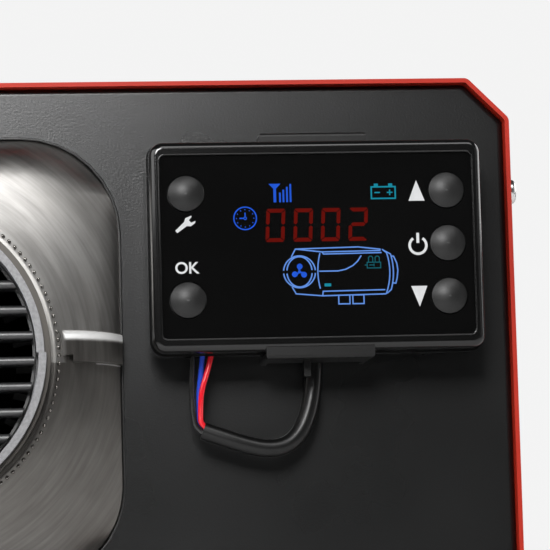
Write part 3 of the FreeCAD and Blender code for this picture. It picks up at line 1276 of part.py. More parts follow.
def controller_frame():
    """Front frame: sloped outer edge, a pocket for the lens and a ledge behind it."""
    base = ctrl_slab(CTRL_W, CTRL_H, CTRL_R, FACE_Y + CTRL_BEVEL_D, SEAM_Y)
    slope = Part.makeLoft([rounded_rect(CTRL_X, CTRL_Z, CTRL_W, CTRL_H, CTRL_R, FACE_Y + CTRL_BEVEL_D),
                           rounded_rect(CTRL_X, CTRL_Z, CTRL_W - 2 * CTRL_BEVEL, CTRL_H - 2 * CTRL_BEVEL,
                                        CTRL_R - CTRL_BEVEL, FACE_Y)], True, True)
    form = base.fuse(slope).removeSplitter()
    edges = edges_at_y(form, FACE_Y) + edges_at_y(form, FACE_Y + CTRL_BEVEL_D)
    form = form.makeFillet(CTRL_EDGE_R, edges)
    pocket = ctrl_slab(LENS_W + 2 * LENS_FIT, LENS_H + 2 * LENS_FIT, LENS_R + LENS_FIT, FACE_Y - CUT,
                       LENS_BACK)
    cavity = ctrl_slab(LENS_W - 2 * LEDGE, LENS_H - 2 * LEDGE, LENS_R, LENS_BACK - CUT, SEAM_Y + CUT)
    return form.cut([pocket, cavity, lower_lip(CLIP_GAP)])


def button_places():
    column = BUTTON_COLUMN
    row = BUTTON_ROW
    return {"button_menu": (-column, row), "button_ok": (-column, -row), "button_up": (column, row),
            "button_power": (column, 0.0), "button_down": (column, -row)}


def controller_lens():
    lens = ctrl_slab(LENS_W, LENS_H, LENS_R, LENS_Y, LENS_BACK)
    radius = BUTTON_R + BUTTON_HOLE_GAP
    return lens.cut([rod(CTRL_X + x, LENS_Y - CUT, CTRL_Z + z, Y_AXIS, radius, LENS_T + 2 * CUT)
                     for x, z in button_places().values()])


def push_button(x, z):
    """Domed key: a crowned cap through the lens, a flange behind it and a stem to its switch."""
    front = LENS_Y - BUTTON_RISE
    flange_y = LENS_BACK + BUTTON_SEAT_GAP
    stem_end = PCB_FRONT - SWITCH_H - BUTTON_TRAVEL - SWITCH_GAP
    flange_back = flange_y + BUTTON_FLANGE_T
    dome = crown(BUTTON_R, BUTTON_DOME, front - BUTTON_DOME)
    steps = [(BUTTON_R, front), (BUTTON_R, flange_y), (BUTTON_FLANGE_R, flange_y),
             (BUTTON_FLANGE_R, flange_back), (BUTTON_STEM_R, flange_back), (BUTTON_STEM_R, stem_end),
             (0, stem_end), (0, front - BUTTON_DOME)]
    side = Part.makePolygon([Vector(r, 0, at) for r, at in steps])
    key = Part.Face(Part.Wire([dome] + side.Edges)).revolve(Vector(0, 0, 0), Z_AXIS, 360)
    key.Placement = FreeCAD.Placement(Vector(CTRL_X + x, 0, CTRL_Z + z), Rotation(Z_AXIS, Y_AXIS))
    return key


def tact_switches():
    switches = []
    half = SWITCH_W / 2
    for x, z in button_places().values():
        body = box(CTRL_X + x - half, CTRL_X + x + half, PCB_FRONT - SWITCH_BODY_H, PCB_FRONT,
                   CTRL_Z + z - half, CTRL_Z + z + half)
        plunger = rod(CTRL_X + x, PCB_FRONT - SWITCH_H, CTRL_Z + z, Y_AXIS, BUTTON_STEM_R,
                      SWITCH_H - SWITCH_BODY_H + SWITCH_GAP)
        switches.append(body.fuse(plunger))
    return group(switches)


def controller_pcb():
    across = LENS_W / 2 - LEDGE - PCB_GAP
    up = LENS_H / 2 - LEDGE - PCB_GAP
    return box(CTRL_X - across, CTRL_X + across, PCB_FRONT, PCB_BACK, CTRL_Z - up, CTRL_Z + up)


def display_module():
    return box(CTRL_X - DISPLAY_W / 2, CTRL_X + DISPLAY_W / 2, LENS_BACK + BUTTON_SEAT_GAP, PCB_FRONT,
               CTRL_Z - DISPLAY_H / 2, CTRL_Z + DISPLAY_H / 2)


# Controller lead, placed from the controller's centre in the plane of the panel
def lead_point(x, depth, z):
    return Vector(CTRL_X + x, PANEL_Y - depth, CTRL_Z + z)


def lead_sleeve():
    """Sleeve over the wires: it loops under the controller and goes back through the panel behind it."""
    return tube("lead_sleeve", [lead_point(*p) for p in SLEEVE_ROUTE], SLEEVE_R, SLEEVE_R - SLEEVE_WALL)


def panel_grommet():
    y = PANEL_Y - GROMMET_T
    inner = GROMMET_BORE_R
    groove = GROMMET_HOLE_R - PIPE_FIT
    depth = 2 * GROMMET_T + PANEL_T
    far = GROMMET_T + PANEL_T
    profile = [(inner, 0), (GROMMET_R, 0), (GROMMET_R, GROMMET_T), (groove, GROMMET_T), (groove, far),
               (GROMMET_R, far), (GROMMET_R, depth), (inner, depth)]
    return turned(profile, CTRL_X, y, CTRL_Z - GROMMET_DROP, Y_AXIS)


def power_gland():
    """Cable gland in the rear panel: hexagon outside, nut inside, open bore."""
    y = BACK_Y
    inside = y - PANEL_T
    flange = extruded(hexagon(GLAND_X, y, GLAND_Z, GLAND_HEX_R, X_AXIS, Z_AXIS), Vector(0, GLAND_HEX_L, 0))
    dome = turned([(0, GLAND_HEX_L), (GLAND_DOME_R, GLAND_HEX_L), (GLAND_R, GLAND_SHOULDER),
                   (GLAND_MOUTH_R, GLAND_L), (0, GLAND_L)], GLAND_X, y, GLAND_Z, Y_AXIS)
    neck = rod(GLAND_X, inside - GLAND_HEX_L, GLAND_Z, Y_AXIS, GLAND_R - SCREW_HOLE_GAP,
               PANEL_T + GLAND_HEX_L + CUT)
    nut = rod(GLAND_X, inside - GLAND_NUT_L, GLAND_Z, Y_AXIS, GLAND_HEX_R, GLAND_NUT_L)
    bore = rod(GLAND_X, y - GLAND_L, GLAND_Z, Y_AXIS, GLAND_BORE_R, 3 * GLAND_L)
    return flange.fuse([dome, neck, nut]).cut(bore).removeSplitter()


os.makedirs("parts", exist_ok=True)
upper_shell, lower_shell = heater_shells()
pieces = {
    "case_shell": case_shell(),
    "base_tray": base_tray(),
    "front_panel": front_panel(),
    "rear_panel": rear_panel(),
    "inlet_guard": inlet_guard(),
    "rubber_feet": rubber_feet(),
    "case_screws": case_screws(),
    "handle_brackets": handle_brackets(),
    "handle_bail": handle_bail(),
    "handle_grip": handle_grip(),
    "heater_upper_shell": upper_shell,
    "heater_lower_shell": lower_shell,
    "outlet_grille": outlet_grille(),
    "inlet_hood": inlet_hood(),
    "heat_exchanger": heat_exchanger(),
    "burner_tube": burner_tube(),
    "glow_plug": glow_plug(),
    "combustion_housing": combustion_housing(),
    "blower_motor": blower_motor(),
    "motor_shaft": motor_shaft(),
    "combustion_impeller": combustion_impeller(),
    "hot_air_fan": hot_air_fan(),
    "control_unit": control_unit(),
    "heater_shelf": heater_shelf(),
    "base_gasket": base_gasket(),
    "base_nuts": base_nuts(),
    "exhaust_pipe": exhaust_pipe(),
    "exhaust_clamps": exhaust_clamps(),
    "muffler": muffler(),
    "tail_pipe": tail_pipe(),
    "intake_hose": intake_hose(),
    "intake_filter": intake_filter(),
    "fuel_tank": fuel_tank(),
    "filler_neck": filler_neck(),
    "neck_collar": neck_collar(),
    "fuel_cap": fuel_cap(),
    "cap_seal": cap_seal(),
    "tank_strap": tank_strap(),
    "fuel_filter": fuel_filter(),
    "fuel_pump": fuel_pump(),
    "pump_clamp": pump_clamp(),
    "fuel_hoses": fuel_hoses(),
    "controller_bracket": controller_bracket(),
    "controller_back": controller_back(),
    "controller_frame": controller_frame(),
    "controller_lens": controller_lens(),
    "display_module": display_module(),
    "controller_pcb": controller_pcb(),
    "tact_switches": tact_switches(),
    "lead_sleeve": lead_sleeve(),
    "panel_grommet": panel_grommet(),
    "power_gland": power_gland(),
}
for name, (x, z) in button_places().items():
    pieces[name] = push_button(x, z)
for name, route in WIRE_ROUTES.items():
    pieces[name] = tube(name, [lead_point(*p) for p in route], WIRE_R)
for name, shape in pieces.items():
    export(name, shape)
print(len(pieces), "pieces")
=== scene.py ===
import json
import math
import bmesh
import bpy
from mathutils import Matrix, Vector


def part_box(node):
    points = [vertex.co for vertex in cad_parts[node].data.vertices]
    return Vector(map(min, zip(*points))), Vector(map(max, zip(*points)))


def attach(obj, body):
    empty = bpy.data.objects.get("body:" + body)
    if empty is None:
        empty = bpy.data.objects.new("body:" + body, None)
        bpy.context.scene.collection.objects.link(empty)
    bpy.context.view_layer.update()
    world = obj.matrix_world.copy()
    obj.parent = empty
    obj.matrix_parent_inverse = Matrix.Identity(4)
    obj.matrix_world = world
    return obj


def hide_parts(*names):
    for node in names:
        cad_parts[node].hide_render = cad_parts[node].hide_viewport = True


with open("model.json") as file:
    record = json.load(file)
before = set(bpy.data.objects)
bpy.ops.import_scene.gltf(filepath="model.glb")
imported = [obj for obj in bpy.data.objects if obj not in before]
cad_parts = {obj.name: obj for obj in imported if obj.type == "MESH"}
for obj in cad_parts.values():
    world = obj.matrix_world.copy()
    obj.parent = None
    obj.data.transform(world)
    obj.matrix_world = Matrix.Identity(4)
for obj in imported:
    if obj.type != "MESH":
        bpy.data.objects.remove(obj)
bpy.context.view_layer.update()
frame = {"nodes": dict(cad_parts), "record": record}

# Portable diesel air heater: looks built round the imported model, in metres
mm = 0.001
scene = bpy.context.scene
scene.view_settings.view_transform = "Standard"

# Front faces of the panel and the lens, centre of the controller, axis of the outlet
panel_y = -196 * mm
lens_y = -223.2 * mm
control = Vector((80.4 * mm, 0, 300.5 * mm))
outlet = Vector((-59.5 * mm, 0, 266.0 * mm))

# Turn that stands a flat drawing up to face the front, and the angle that keeps an edge sharp
stand_up = (math.radians(90), 0, 0)
sharp = math.radians(35)


# Selecting, editing and placing pieces
def deselect():
    if bpy.context.object and bpy.context.object.mode != "OBJECT":
        bpy.ops.object.mode_set(mode="OBJECT")
    bpy.ops.object.select_all(action="DESELECT")


def hold(piece):
    """Selects one piece alone and makes it the active one."""
    deselect()
    piece.select_set(True)
    bpy.context.view_layer.objects.active = piece


def pick_faces(piece, wanted):
    """Edit mode with just the faces selected whose normal the test accepts."""
    hold(piece)
    bpy.ops.object.mode_set(mode="EDIT")
    bpy.ops.mesh.select_mode(type="FACE")
    bpy.ops.mesh.select_all(action="DESELECT")
    mesh = bmesh.from_edit_mesh(piece.data)
    for face in mesh.faces:
        face.select_set(wanted(face.normal))
    bmesh.update_edit_mesh(piece.data)


def weld(piece, gap):
    """Merges points that lie closer than the gap and turns every face outwards."""
    hold(piece)
    bpy.ops.object.mode_set(mode="EDIT")
    bpy.ops.mesh.select_all(action="SELECT")
    bpy.ops.mesh.remove_doubles(threshold=gap)
    bpy.ops.mesh.normals_make_consistent(inside=False)
    bpy.ops.object.mode_set(mode="OBJECT")


def joined(pieces):
    """One piece made of several finished ones."""
    deselect()
    for piece in pieces:
        piece.select_set(True)
    bpy.context.view_layer.objects.active = pieces[0]
    bpy.ops.object.join()
    return pieces[0]


def settle(piece):
    """Puts a piece's place, turn and size into its mesh."""
    hold(piece)
    bpy.ops.object.transform_apply(location=True, rotation=True, scale=True)


def place(piece, name, body, material):
    """Names a finished piece, settles it and lets it ride on a body."""
    settle(piece)
    piece.name = name
    piece.data.name = name
    piece.data.materials.clear()
    piece.data.materials.append(material)
    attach(piece, body)


# Node work: sockets, sums, ramps
def set_socket(tree, socket, value):
    """Gives a socket a constant, or a link from another socket."""
    if isinstance(value, bpy.types.NodeSocket):
        tree.links.new(value, socket)
    else:
        socket.default_value = value


def set_inputs(tree, node, **values):
    """Sets a node's inputs by name, with a low line for each space."""
    for label, value in values.items():
        set_socket(tree, node.inputs[label.replace("_", " ")], value)
    return node


def add_node(tree, kind, **values):
    return set_inputs(tree, tree.nodes.new(kind), **values)


def add_effect(tree, group, **values):
    node = tree.nodes.new("ShaderNodeGroup")
    node.node_tree = group
    return set_inputs(tree, node, **values)


def scalar(tree, way, first, second=0.0):
    """One value worked out from one or two."""
    node = tree.nodes.new("ShaderNodeMath")
    node.operation = way
    set_socket(tree, node.inputs[0], first)
    set_socket(tree, node.inputs[1], second)
    return node.outputs["Value"]


def vector(tree, way, first, second=None):
    """One vector worked out from one or two; a length or a dot product comes back as a value."""
    node = tree.nodes.new("ShaderNodeVectorMath")
    node.operation = way
    set_socket(tree, node.inputs[0], first)
    if second is not None:
        set_socket(tree, node.inputs["Scale" if way == "SCALE" else 1], second)
    return node.outputs["Value" if way in ("LENGTH", "DOT_PRODUCT") else "Vector"]


def noise(tree, spot, scale, detail, roughness=0.5):
    """Random variation, smooth from place to place."""
    texture = add_node(tree, "ShaderNodeTexNoise", Vector=spot, Scale=scale)
    set_inputs(tree, texture, Detail=detail, Roughness=roughness)
    return texture.outputs["Fac"]


def tint(tree, factor, dark, light, low=0.3, high=0.7):
    """Colour that runs from dark to light as the factor runs from low to high."""
    ramp = add_node(tree, "ShaderNodeValToRGB", Fac=factor)
    ramp.color_ramp.elements[0].position = low
    ramp.color_ramp.elements[1].position = high
    ramp.color_ramp.elements[0].color = (*dark, 1)
    ramp.color_ramp.elements[1].color = (*light, 1)
    return ramp.outputs["Color"]


def spread(tree, factor, low, high, start=0.3, stop=0.7, way="LINEAR"):
    """Value that runs from low to high as the factor runs from start to stop."""
    ranged = add_node(tree, "ShaderNodeMapRange", Value=factor, From_Min=start, From_Max=stop)
    set_inputs(tree, ranged, To_Min=low, To_Max=high)
    ranged.interpolation_type = way
    return ranged.outputs["Result"]


def blended(tree, factor, first, second, way="MIX"):
    """Second colour laid over the first by a factor."""
    mix = tree.nodes.new("ShaderNodeMix")
    mix.data_type = "RGBA"
    mix.blend_type = way
    set_inputs(tree, mix, Factor=factor, A=first, B=second)
    return mix.outputs["Result"]


def mixed(tree, factor, first, second):
    """Second shader in place of the first by a factor."""
    mix = add_node(tree, "ShaderNodeMixShader", Fac=factor)
    tree.links.new(first, mix.inputs[1])
    tree.links.new(second, mix.inputs[2])
    return mix.outputs["Shader"]


def relief(tree, shader, height, depth, strength, normal=None):
    """Fine bumps in the shading, over the piece's own normal or the one given."""
    bump = add_node(tree, "ShaderNodeBump", Height=height, Distance=depth, Strength=strength)
    if normal:
        tree.links.new(normal, bump.inputs["Normal"])
    tree.links.new(bump.outputs["Normal"], shader.inputs["Normal"])


# Surface effects shared by the finishes
def effect(name, inputs, outputs):
    """Node group to be filled, with the piece's own coordinates at hand."""
    group = bpy.data.node_groups.new(name, "ShaderNodeTree")
    for label in inputs:
        group.interface.new_socket(label, in_out="INPUT", socket_type="NodeSocketFloat")
    for label in outputs:
        group.interface.new_socket(label, in_out="OUTPUT", socket_type="NodeSocketFloat")
    entry = group.nodes.new("NodeGroupInput").outputs
    leave = group.nodes.new("NodeGroupOutput")
    spot = group.nodes.new("ShaderNodeTexCoord").outputs["Object"]
    return group, entry, leave, spot


def surface_grain():
    """Fine moulded or sprayed texture, with slow cloudy variation over the piece."""
    group, entry, leave, spot = effect("surface grain", ["Scale", "Cloud Scale"], ["Height", "Cloud"])
    fine = noise(group, spot, entry["Scale"], detail=2.0, roughness=0.6)
    cloud = noise(group, spot, entry["Cloud Scale"], detail=4.0)
    set_inputs(group, leave, Height=fine, Cloud=cloud)
    return group


def tool_lines():
    """Long fine level streaks left by brushing or drawing."""
    group, entry, leave, spot = effect("tool lines", ["Along", "Across"], ["Lines", "Bands"])
    along = entry["Along"]
    stretch = add_node(group, "ShaderNodeCombineXYZ", X=along, Y=along, Z=entry["Across"])
    drawn = vector(group, "MULTIPLY", spot, stretch.outputs["Vector"])
    lines = noise(group, drawn, scale=1.0, detail=3.0)
    bands = noise(group, drawn, scale=0.25, detail=2.0)
    set_inputs(group, leave, Lines=lines, Bands=bands)
    return group


def ring_lines():
    """Streaks round the outlet's axis, with the distance from it, the height and an even slope."""
    values = ["Lines", "Bands", "Radius", "Rise"]
    group, entry, leave, spot = effect("ring lines", ["Round", "Across"], values)
    group.interface.new_socket("Normal", in_out="OUTPUT", socket_type="NodeSocketVector")
    centred = vector(group, "SUBTRACT", spot, outlet)
    level = vector(group, "MULTIPLY", centred, (1, 0, 1))
    radius = vector(group, "LENGTH", level)
    heading = vector(group, "NORMALIZE", level)
    rise = add_node(group, "ShaderNodeSeparateXYZ", Vector=centred).outputs["Z"]

    # Slope of the dome, from its inner edge to its outer one
    slope = spread(group, radius, low=0.27, high=0.62, start=54 * mm, stop=82 * mm)
    lean = vector(group, "SCALE", heading, slope)
    forward = vector(group, "ADD", lean, (0, -1, 0))
    facing = add_node(group, "ShaderNodeVectorTransform", Vector=forward)
    facing.vector_type = "NORMAL"
    facing.convert_from = "OBJECT"
    facing.convert_to = "WORLD"

    # Long round the axis, fine across it
    around = vector(group, "SCALE", heading, entry["Round"])
    across = scalar(group, "MULTIPLY", radius, entry["Across"])
    out = add_node(group, "ShaderNodeCombineXYZ", Y=across)
    rubbed = vector(group, "ADD", around, out.outputs["Vector"])
    lines = noise(group, rubbed, scale=1.0, detail=4.0)
    bands = noise(group, rubbed, scale=0.3, detail=3.0)
    set_inputs(group, leave, Lines=lines, Bands=bands, Radius=radius, Rise=rise)
    set_inputs(group, leave, Normal=facing.outputs["Vector"])
    return group


grain_effect = surface_grain()
lines_effect = tool_lines()
ring_effect = ring_lines()


# Finishes: paint and plastic, bare metal, lit marks, outlet shells
def material_base(name):
    material = bpy.data.materials.new(name)
    material.use_nodes = True
    tree = material.node_tree
    return material, tree, tree.nodes["Principled BSDF"]


def grained(name, dark, light, rough, grain=900.0, depth=0.02 * mm, strength=0.3, gloss=0.5):
    """Paint or moulded plastic with a fine texture and a slow change of tone and roughness."""
    material, tree, shader = material_base(name)
    texture = add_effect(tree, grain_effect, Scale=grain, Cloud_Scale=18.0).outputs
    tone = tint(tree, texture["Cloud"], dark, light)
    roughness = spread(tree, texture["Cloud"], *rough)
    set_inputs(tree, shader, Base_Color=tone, Roughness=roughness, Specular_IOR_Level=gloss)
    relief(tree, shader, texture["Height"], depth, strength)
    return material


def metal(name, dark, light, rough, along=12.0, across=900.0):
    """Bare metal with tool lines that change its tone and roughness."""
    material, tree, shader = material_base(name)
    streaks = add_effect(tree, lines_effect, Along=along, Across=across).outputs
    tone = tint(tree, streaks["Bands"], dark, light, low=0.35, high=0.65)
    roughness = spread(tree, streaks["Lines"], *rough)
    set_inputs(tree, shader, Base_Color=tone, Roughness=roughness, Metallic=1.0)
    relief(tree, shader, streaks["Lines"], depth=0.01 * mm, strength=0.2)
    return material


def lit(name, colour):
    """Mark that glows in its own colour: the screen's marks are back-lit, the printed marks glow as painted
    light.
    """
    material, tree, shader = material_base(name)
    cloud = add_effect(tree, grain_effect, Cloud_Scale=300.0).outputs["Cloud"]
    dim_share = 0.86
    dim = [part * dim_share for part in colour]
    shown = tint(tree, cloud, dim, colour)
    set_inputs(tree, shader, Emission_Color=shown, Emission_Strength=1.0)
    set_inputs(tree, shader, Base_Color=(0.0, 0.0, 0.0, 1), Roughness=0.5, Specular_IOR_Level=0.0)
    return material


def shell_finish():
    """Brushed metal of the outlet shells: rubbed round the axis, a sandy lip, with painted shade from the
    seam down and inside the ring's step, a painted highlight along the seam's upper edge and a painted
    glint line below it.
    """
    material, tree, shader = material_base("shell_grey")
    ring = add_effect(tree, ring_effect, Round=4.0, Across=900.0).outputs
    radius = ring["Radius"]
    rise = ring["Rise"]
    cloud = add_effect(tree, grain_effect, Cloud_Scale=45.0).outputs["Cloud"]
    sand = add_effect(tree, grain_effect, Cloud_Scale=900.0).outputs["Cloud"]

    def past(measure, start, stop):
        """Nought up to the start and one from the stop on, both in millimetres."""
        return spread(tree, measure, 0.0, 1.0, start * mm, stop * mm)

    def short_of(measure, start, stop):
        """One up to the start and nought from the stop on, both in millimetres."""
        return spread(tree, measure, 1.0, 0.0, start * mm, stop * mm)

    def both(first, second):
        return scalar(tree, "MULTIPLY", first, second)

    def either(first, second):
        return scalar(tree, "MAXIMUM", first, second)

    # Rubbed grey, with painted shade from the seam down: the seam band's face and the lower shell are
    # darkened
    streaks = tint(tree, ring["Lines"], (0.330, 0.322, 0.310), (0.430, 0.421, 0.408), high=0.72)
    dust = tint(tree, cloud, (0.84, 0.83, 0.82), (1.0, 1.0, 1.0))
    brushed = blended(tree, 1.0, streaks, dust, "MULTIPLY")
    outside = past(radius, 55.5, 56.5)
    seam = both(short_of(rise, 4.4, 4.8), outside)
    painted_shade_below = either(short_of(rise, -2.6, -2.2), seam)
    painted_shade_tone = blended(tree, 1.0, brushed, (0.40, 0.39, 0.38, 1.0), "MULTIPLY")
    tone = blended(tree, painted_shade_below, brushed, painted_shade_tone)

    # Ring: painted shadow inside its step, sandy at the lip, which is wider on the lower half
    step = short_of(radius, 51.1, 51.4)
    tone = blended(tree, step, tone, (0.075, 0.070, 0.064, 1.0))
    wider = spread(tree, rise, 0.7 * mm, 0.0, -0.1 * mm, 0.1 * mm)
    lip = short_of(scalar(tree, "SUBTRACT", radius, wider), 48.9, 49.0)
    cast = tint(tree, sand, (0.15, 0.15, 0.155), (0.22, 0.22, 0.225), low=0.32, high=0.68)
    tone = blended(tree, lip, tone, cast)

    # Seam: a painted highlight along its upper edge, with a fine painted glint line below it
    painted_seam_highlight = both(both(past(rise, 4.8, 5.6), short_of(rise, 8.1, 8.5)), outside)
    tone = blended(tree, painted_seam_highlight, tone, (0.62, 0.62, 0.61, 1.0))
    far_out = past(radius, 66, 66.5)
    painted_glint_line = both(both(past(rise, -2.75, -2.6), short_of(rise, -2.4, -2.25)), far_out)
    tone = blended(tree, painted_glint_line, tone, (0.50, 0.49, 0.48, 1.0))

    roughness = either(spread(tree, ring["Bands"], 0.31, 0.39), both(lip, 0.5))
    dull = either(both(lip, 0.45), both(painted_seam_highlight, 0.9))
    metallic = scalar(tree, "SUBTRACT", 1.0, dull)
    set_inputs(tree, shader, Base_Color=tone, Roughness=roughness, Metallic=metallic)

    # Front of the dome: the shading normal eased to an even slope, for calm reflections
    own_normal = tree.nodes.new("ShaderNodeNewGeometry").outputs["Normal"]
    toward = add_node(tree, "ShaderNodeSeparateXYZ", Vector=own_normal).outputs["Y"]
    front = spread(tree, toward, 1.0, 0.0, -0.12, -0.04)
    dome = past(radius, 52.6, 53.2)
    middle = short_of(scalar(tree, "ABSOLUTE", rise), 55, 62)
    calm = scalar(tree, "SUBTRACT", both(both(front, dome), middle), painted_seam_highlight)
    ease = tree.nodes.new("ShaderNodeMix")
    ease.data_type = "VECTOR"
    set_inputs(tree, ease, Factor=calm, A=own_normal, B=ring["Normal"])
    eased = vector(tree, "NORMALIZE", ease.outputs["Result"])
    relief(tree, shader, ring["Lines"], depth=0.012 * mm, strength=0.2, normal=eased)
    return material


def grey(value):
    return (value, value, value)


# Looks of the painted and moulded pieces, by material slot
plastics = {
    "case_red": dict(dark=(0.32, 0.013, 0.004), light=(0.37, 0.017, 0.005), rough=(0.46, 0.54),
                     grain=700.0, depth=0.03 * mm, strength=0.25, gloss=0.25),
    "panel_black": dict(dark=(0.0022, 0.0024, 0.0024), light=(0.0032, 0.0034, 0.0034), rough=(0.27, 0.30),
                        grain=1500.0, depth=0.075 * mm, strength=0.55),
    "grille_black": dict(dark=(0.010, 0.010, 0.011), light=(0.016, 0.016, 0.017), rough=(0.36, 0.44),
                         grain=500.0, depth=0.01 * mm, strength=0.1, gloss=0.9),
    "fan_black": dict(dark=(0.020, 0.020, 0.021), light=(0.030, 0.030, 0.031), rough=(0.45, 0.55)),
    "rubber_black": dict(dark=grey(0.016), light=grey(0.026), rough=(0.65, 0.8), grain=600.0),
    "tank_plastic": dict(dark=(0.70, 0.70, 0.65), light=(0.80, 0.80, 0.76), rough=(0.4, 0.5), grain=400.0),
    "cap_black": dict(dark=(0.018, 0.018, 0.019), light=(0.028, 0.028, 0.029), rough=(0.4, 0.5),
                      grain=1200.0, depth=0.04 * mm, strength=0.4),
    "control_black": dict(dark=grey(0.0025), light=grey(0.004), rough=(0.12, 0.16),
                          grain=1500.0, depth=0.006 * mm, strength=0.15),
    "bracket_black": dict(dark=grey(0.003), light=grey(0.005), rough=(0.35, 0.42),
                          grain=1200.0, depth=0.05 * mm, strength=0.6, gloss=0.3),
    "lens_black": dict(dark=grey(0.0018), light=grey(0.0024), rough=(0.04, 0.07),
                       grain=60.0, depth=0.001 * mm, strength=0.02),
    "display": dict(dark=(0.010, 0.010, 0.012), light=(0.014, 0.014, 0.016), rough=(0.1, 0.15)),
    "board_green": dict(dark=(0.012, 0.12, 0.05), light=(0.02, 0.16, 0.07), rough=(0.3, 0.4)),
    "button_black": dict(dark=grey(0.0035), light=grey(0.0055), rough=(0.40, 0.46),
                         grain=1800.0, depth=0.01 * mm, strength=0.2, gloss=0.42),
    "wire_black": dict(dark=grey(0.010), light=grey(0.016), rough=(0.10, 0.15)),
    "wire_blue": dict(dark=(0.012, 0.04, 0.36), light=(0.02, 0.06, 0.46), rough=(0.10, 0.15)),
    "wire_red": dict(dark=(0.50, 0.005, 0.012), light=(0.62, 0.01, 0.02), rough=(0.10, 0.15)),
    "sleeve_black": dict(dark=grey(0.0022), light=grey(0.004), rough=(0.28, 0.36), grain=500.0, gloss=0.35),
}

# Looks of the bare metal pieces, by material slot
metals = {
    "steel_plain": dict(dark=grey(0.42), light=grey(0.56), rough=(0.3, 0.45)),
    "screw_steel": dict(dark=grey(0.60), light=(0.75, 0.75, 0.74), rough=(0.18, 0.3)),
    # The casting's near black is painted shade for the unlit inside of the outlet
    "casting": dict(dark=grey(0.010), light=grey(0.018), rough=(0.5, 0.65), along=300.0, across=300.0),
    "stainless": dict(dark=(0.45, 0.43, 0.40), light=(0.60, 0.58, 0.55), rough=(0.25, 0.4)),
    "motor_can": dict(dark=(0.28, 0.28, 0.29), light=(0.38, 0.38, 0.39), rough=(0.3, 0.4)),
    "brass": dict(dark=(0.50, 0.36, 0.13), light=(0.60, 0.45, 0.18), rough=(0.25, 0.35)),
}

finishes = {"shell_grey": shell_finish()}
for slot, look in plastics.items():
    finishes[slot] = grained(slot, **look)
for slot, look in metals.items():
    finishes[slot] = metal(slot, **look)
for part in frame["record"]["subparts"]:
    node = frame["nodes"][part["node"]]
    node.data.materials.clear()
    node.data.materials.append(finishes[part["material_slot"]])


# Controller lead: three wires and the sleeve they run into
def lead(name, slot, radius, route, replaced):
    """Smooth cord along its route, given from the controller's centre in millimetres."""
    curve = bpy.data.curves.new(name, "CURVE")
    curve.dimensions = "3D"
    spline = curve.splines.new("NURBS")
    spline.points.add(len(route) - 1)
    for point, (x, depth, z) in zip(spline.points, route):
        point.co = (control.x + x * mm, panel_y - depth * mm, control.z + z * mm, 1)
    spline.order_u = 3
    spline.use_endpoint_u = True
    spline.resolution_u = 12
    curve.bevel_depth = radius
    curve.bevel_resolution = 6
    curve.use_fill_caps = True
    cord = bpy.data.objects.new(name, curve)
    scene.collection.objects.link(cord)
    curve.materials.append(finishes[slot])
    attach(cord, "case")
    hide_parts(replaced)
    return cord


# Routes: across, out from the panel, up
wire_routes = {
    "black": [(-41.5, 15.0, -34.5), (-42.0, 14.8, -41.5), (-42.2, 14.4, -47.6), (-41.9, 13.6, -53.8),
              (-40.7, 13.0, -60.7), (-33.0, 13.0, -63.3)],
    "blue": [(-38.3, 15.0, -34.5), (-38.9, 14.4, -41.3), (-39.8, 13.6, -47.2), (-39.7, 12.8, -53.2),
             (-39.5, 11.9, -59.1), (-32.4, 11.9, -61.6)],
    "red": [(-35.2, 15.0, -34.5), (-37.0, 15.8, -41.0), (-39.0, 16.0, -47.0), (-39.4, 15.3, -53.0),
            (-39.4, 14.0, -59.3), (-32.4, 14.0, -61.7)],
}
sleeve_route = [(-38.6, 13.0, -60.1), (-31.6, 13.0, -62.6), (-24.5, 12.6, -65.0), (-17.2, 12.0, -66.6),
                (-10.6, 11.2, -65.6), (-5.8, 10.2, -61.2), (-3.0, 9.0, -55.2), (-1.4, 7.6, -49.2),
                (-0.6, 6.4, -43.6), (-0.2, 5.7, -38.2), (0.0, 5.4, -33.0), (0.0, 1.4, -29.2),
                (0.0, -4.6, -29.2)]
for shade, route in wire_routes.items():
    wire = lead("lead_" + shade, "wire_" + shade, 0.9 * mm, route, "lead_wire_" + shade)
    x, depth, z = route[0]
sleeve = lead("lead_tube", "sleeve_black", 3.0 * mm, sleeve_route, "lead_sleeve")
x, depth, z = sleeve_route[-1]


# Marks on the lens, drawn flat in millimetres from the controller's centre
def arc(x, z, radius, start, end, count, tall=1.0):
    """Points along an arc, with its angles in degrees; tall stretches it upwards."""
    points = []
    for step in range(count + 1):
        angle = math.radians(start + (end - start) * step / count)
        points.append((x + radius * math.cos(angle), z + radius * tall * math.sin(angle)))
    return points


def block(x0, x1, z0, z1):
    return [(x0, z0), (x1, z0), (x1, z1), (x0, z1)]


def drawing(name, lines, closed):
    """Flat curve made of straight strokes."""
    curve = bpy.data.curves.new(name, "CURVE")
    curve.dimensions = "2D"
    for line in lines:
        spline = curve.splines.new("POLY")
        spline.points.add(len(line) - 1)
        for point, (x, z) in zip(spline.points, line):
            point.co = (x * mm, z * mm, 0, 1)
        spline.use_cyclic_u = closed
    sheet = bpy.data.objects.new(name, curve)
    scene.collection.objects.link(sheet)
    return sheet


def as_mesh(sheet):
    hold(sheet)
    bpy.ops.object.convert(target="MESH")
    return bpy.context.object


def swept(name, lines, closed, section, section_closed):
    """Mesh that a section leaves as it is drawn along flat lines."""
    nib = drawing("nib", [section], section_closed)
    sheet = drawing(name, lines, closed)
    sheet.data.fill_mode = "NONE"
    sheet.data.bevel_mode = "OBJECT"
    sheet.data.bevel_object = nib
    sheet = as_mesh(sheet)
    bpy.data.objects.remove(nib)
    return sheet


def face_up(sheet):
    """Turns over the faces of a flat mesh that look down."""
    pick_faces(sheet, lambda normal: normal.z < 0)
    bpy.ops.mesh.flip_normals()
    bpy.ops.object.mode_set(mode="OBJECT")
    return sheet


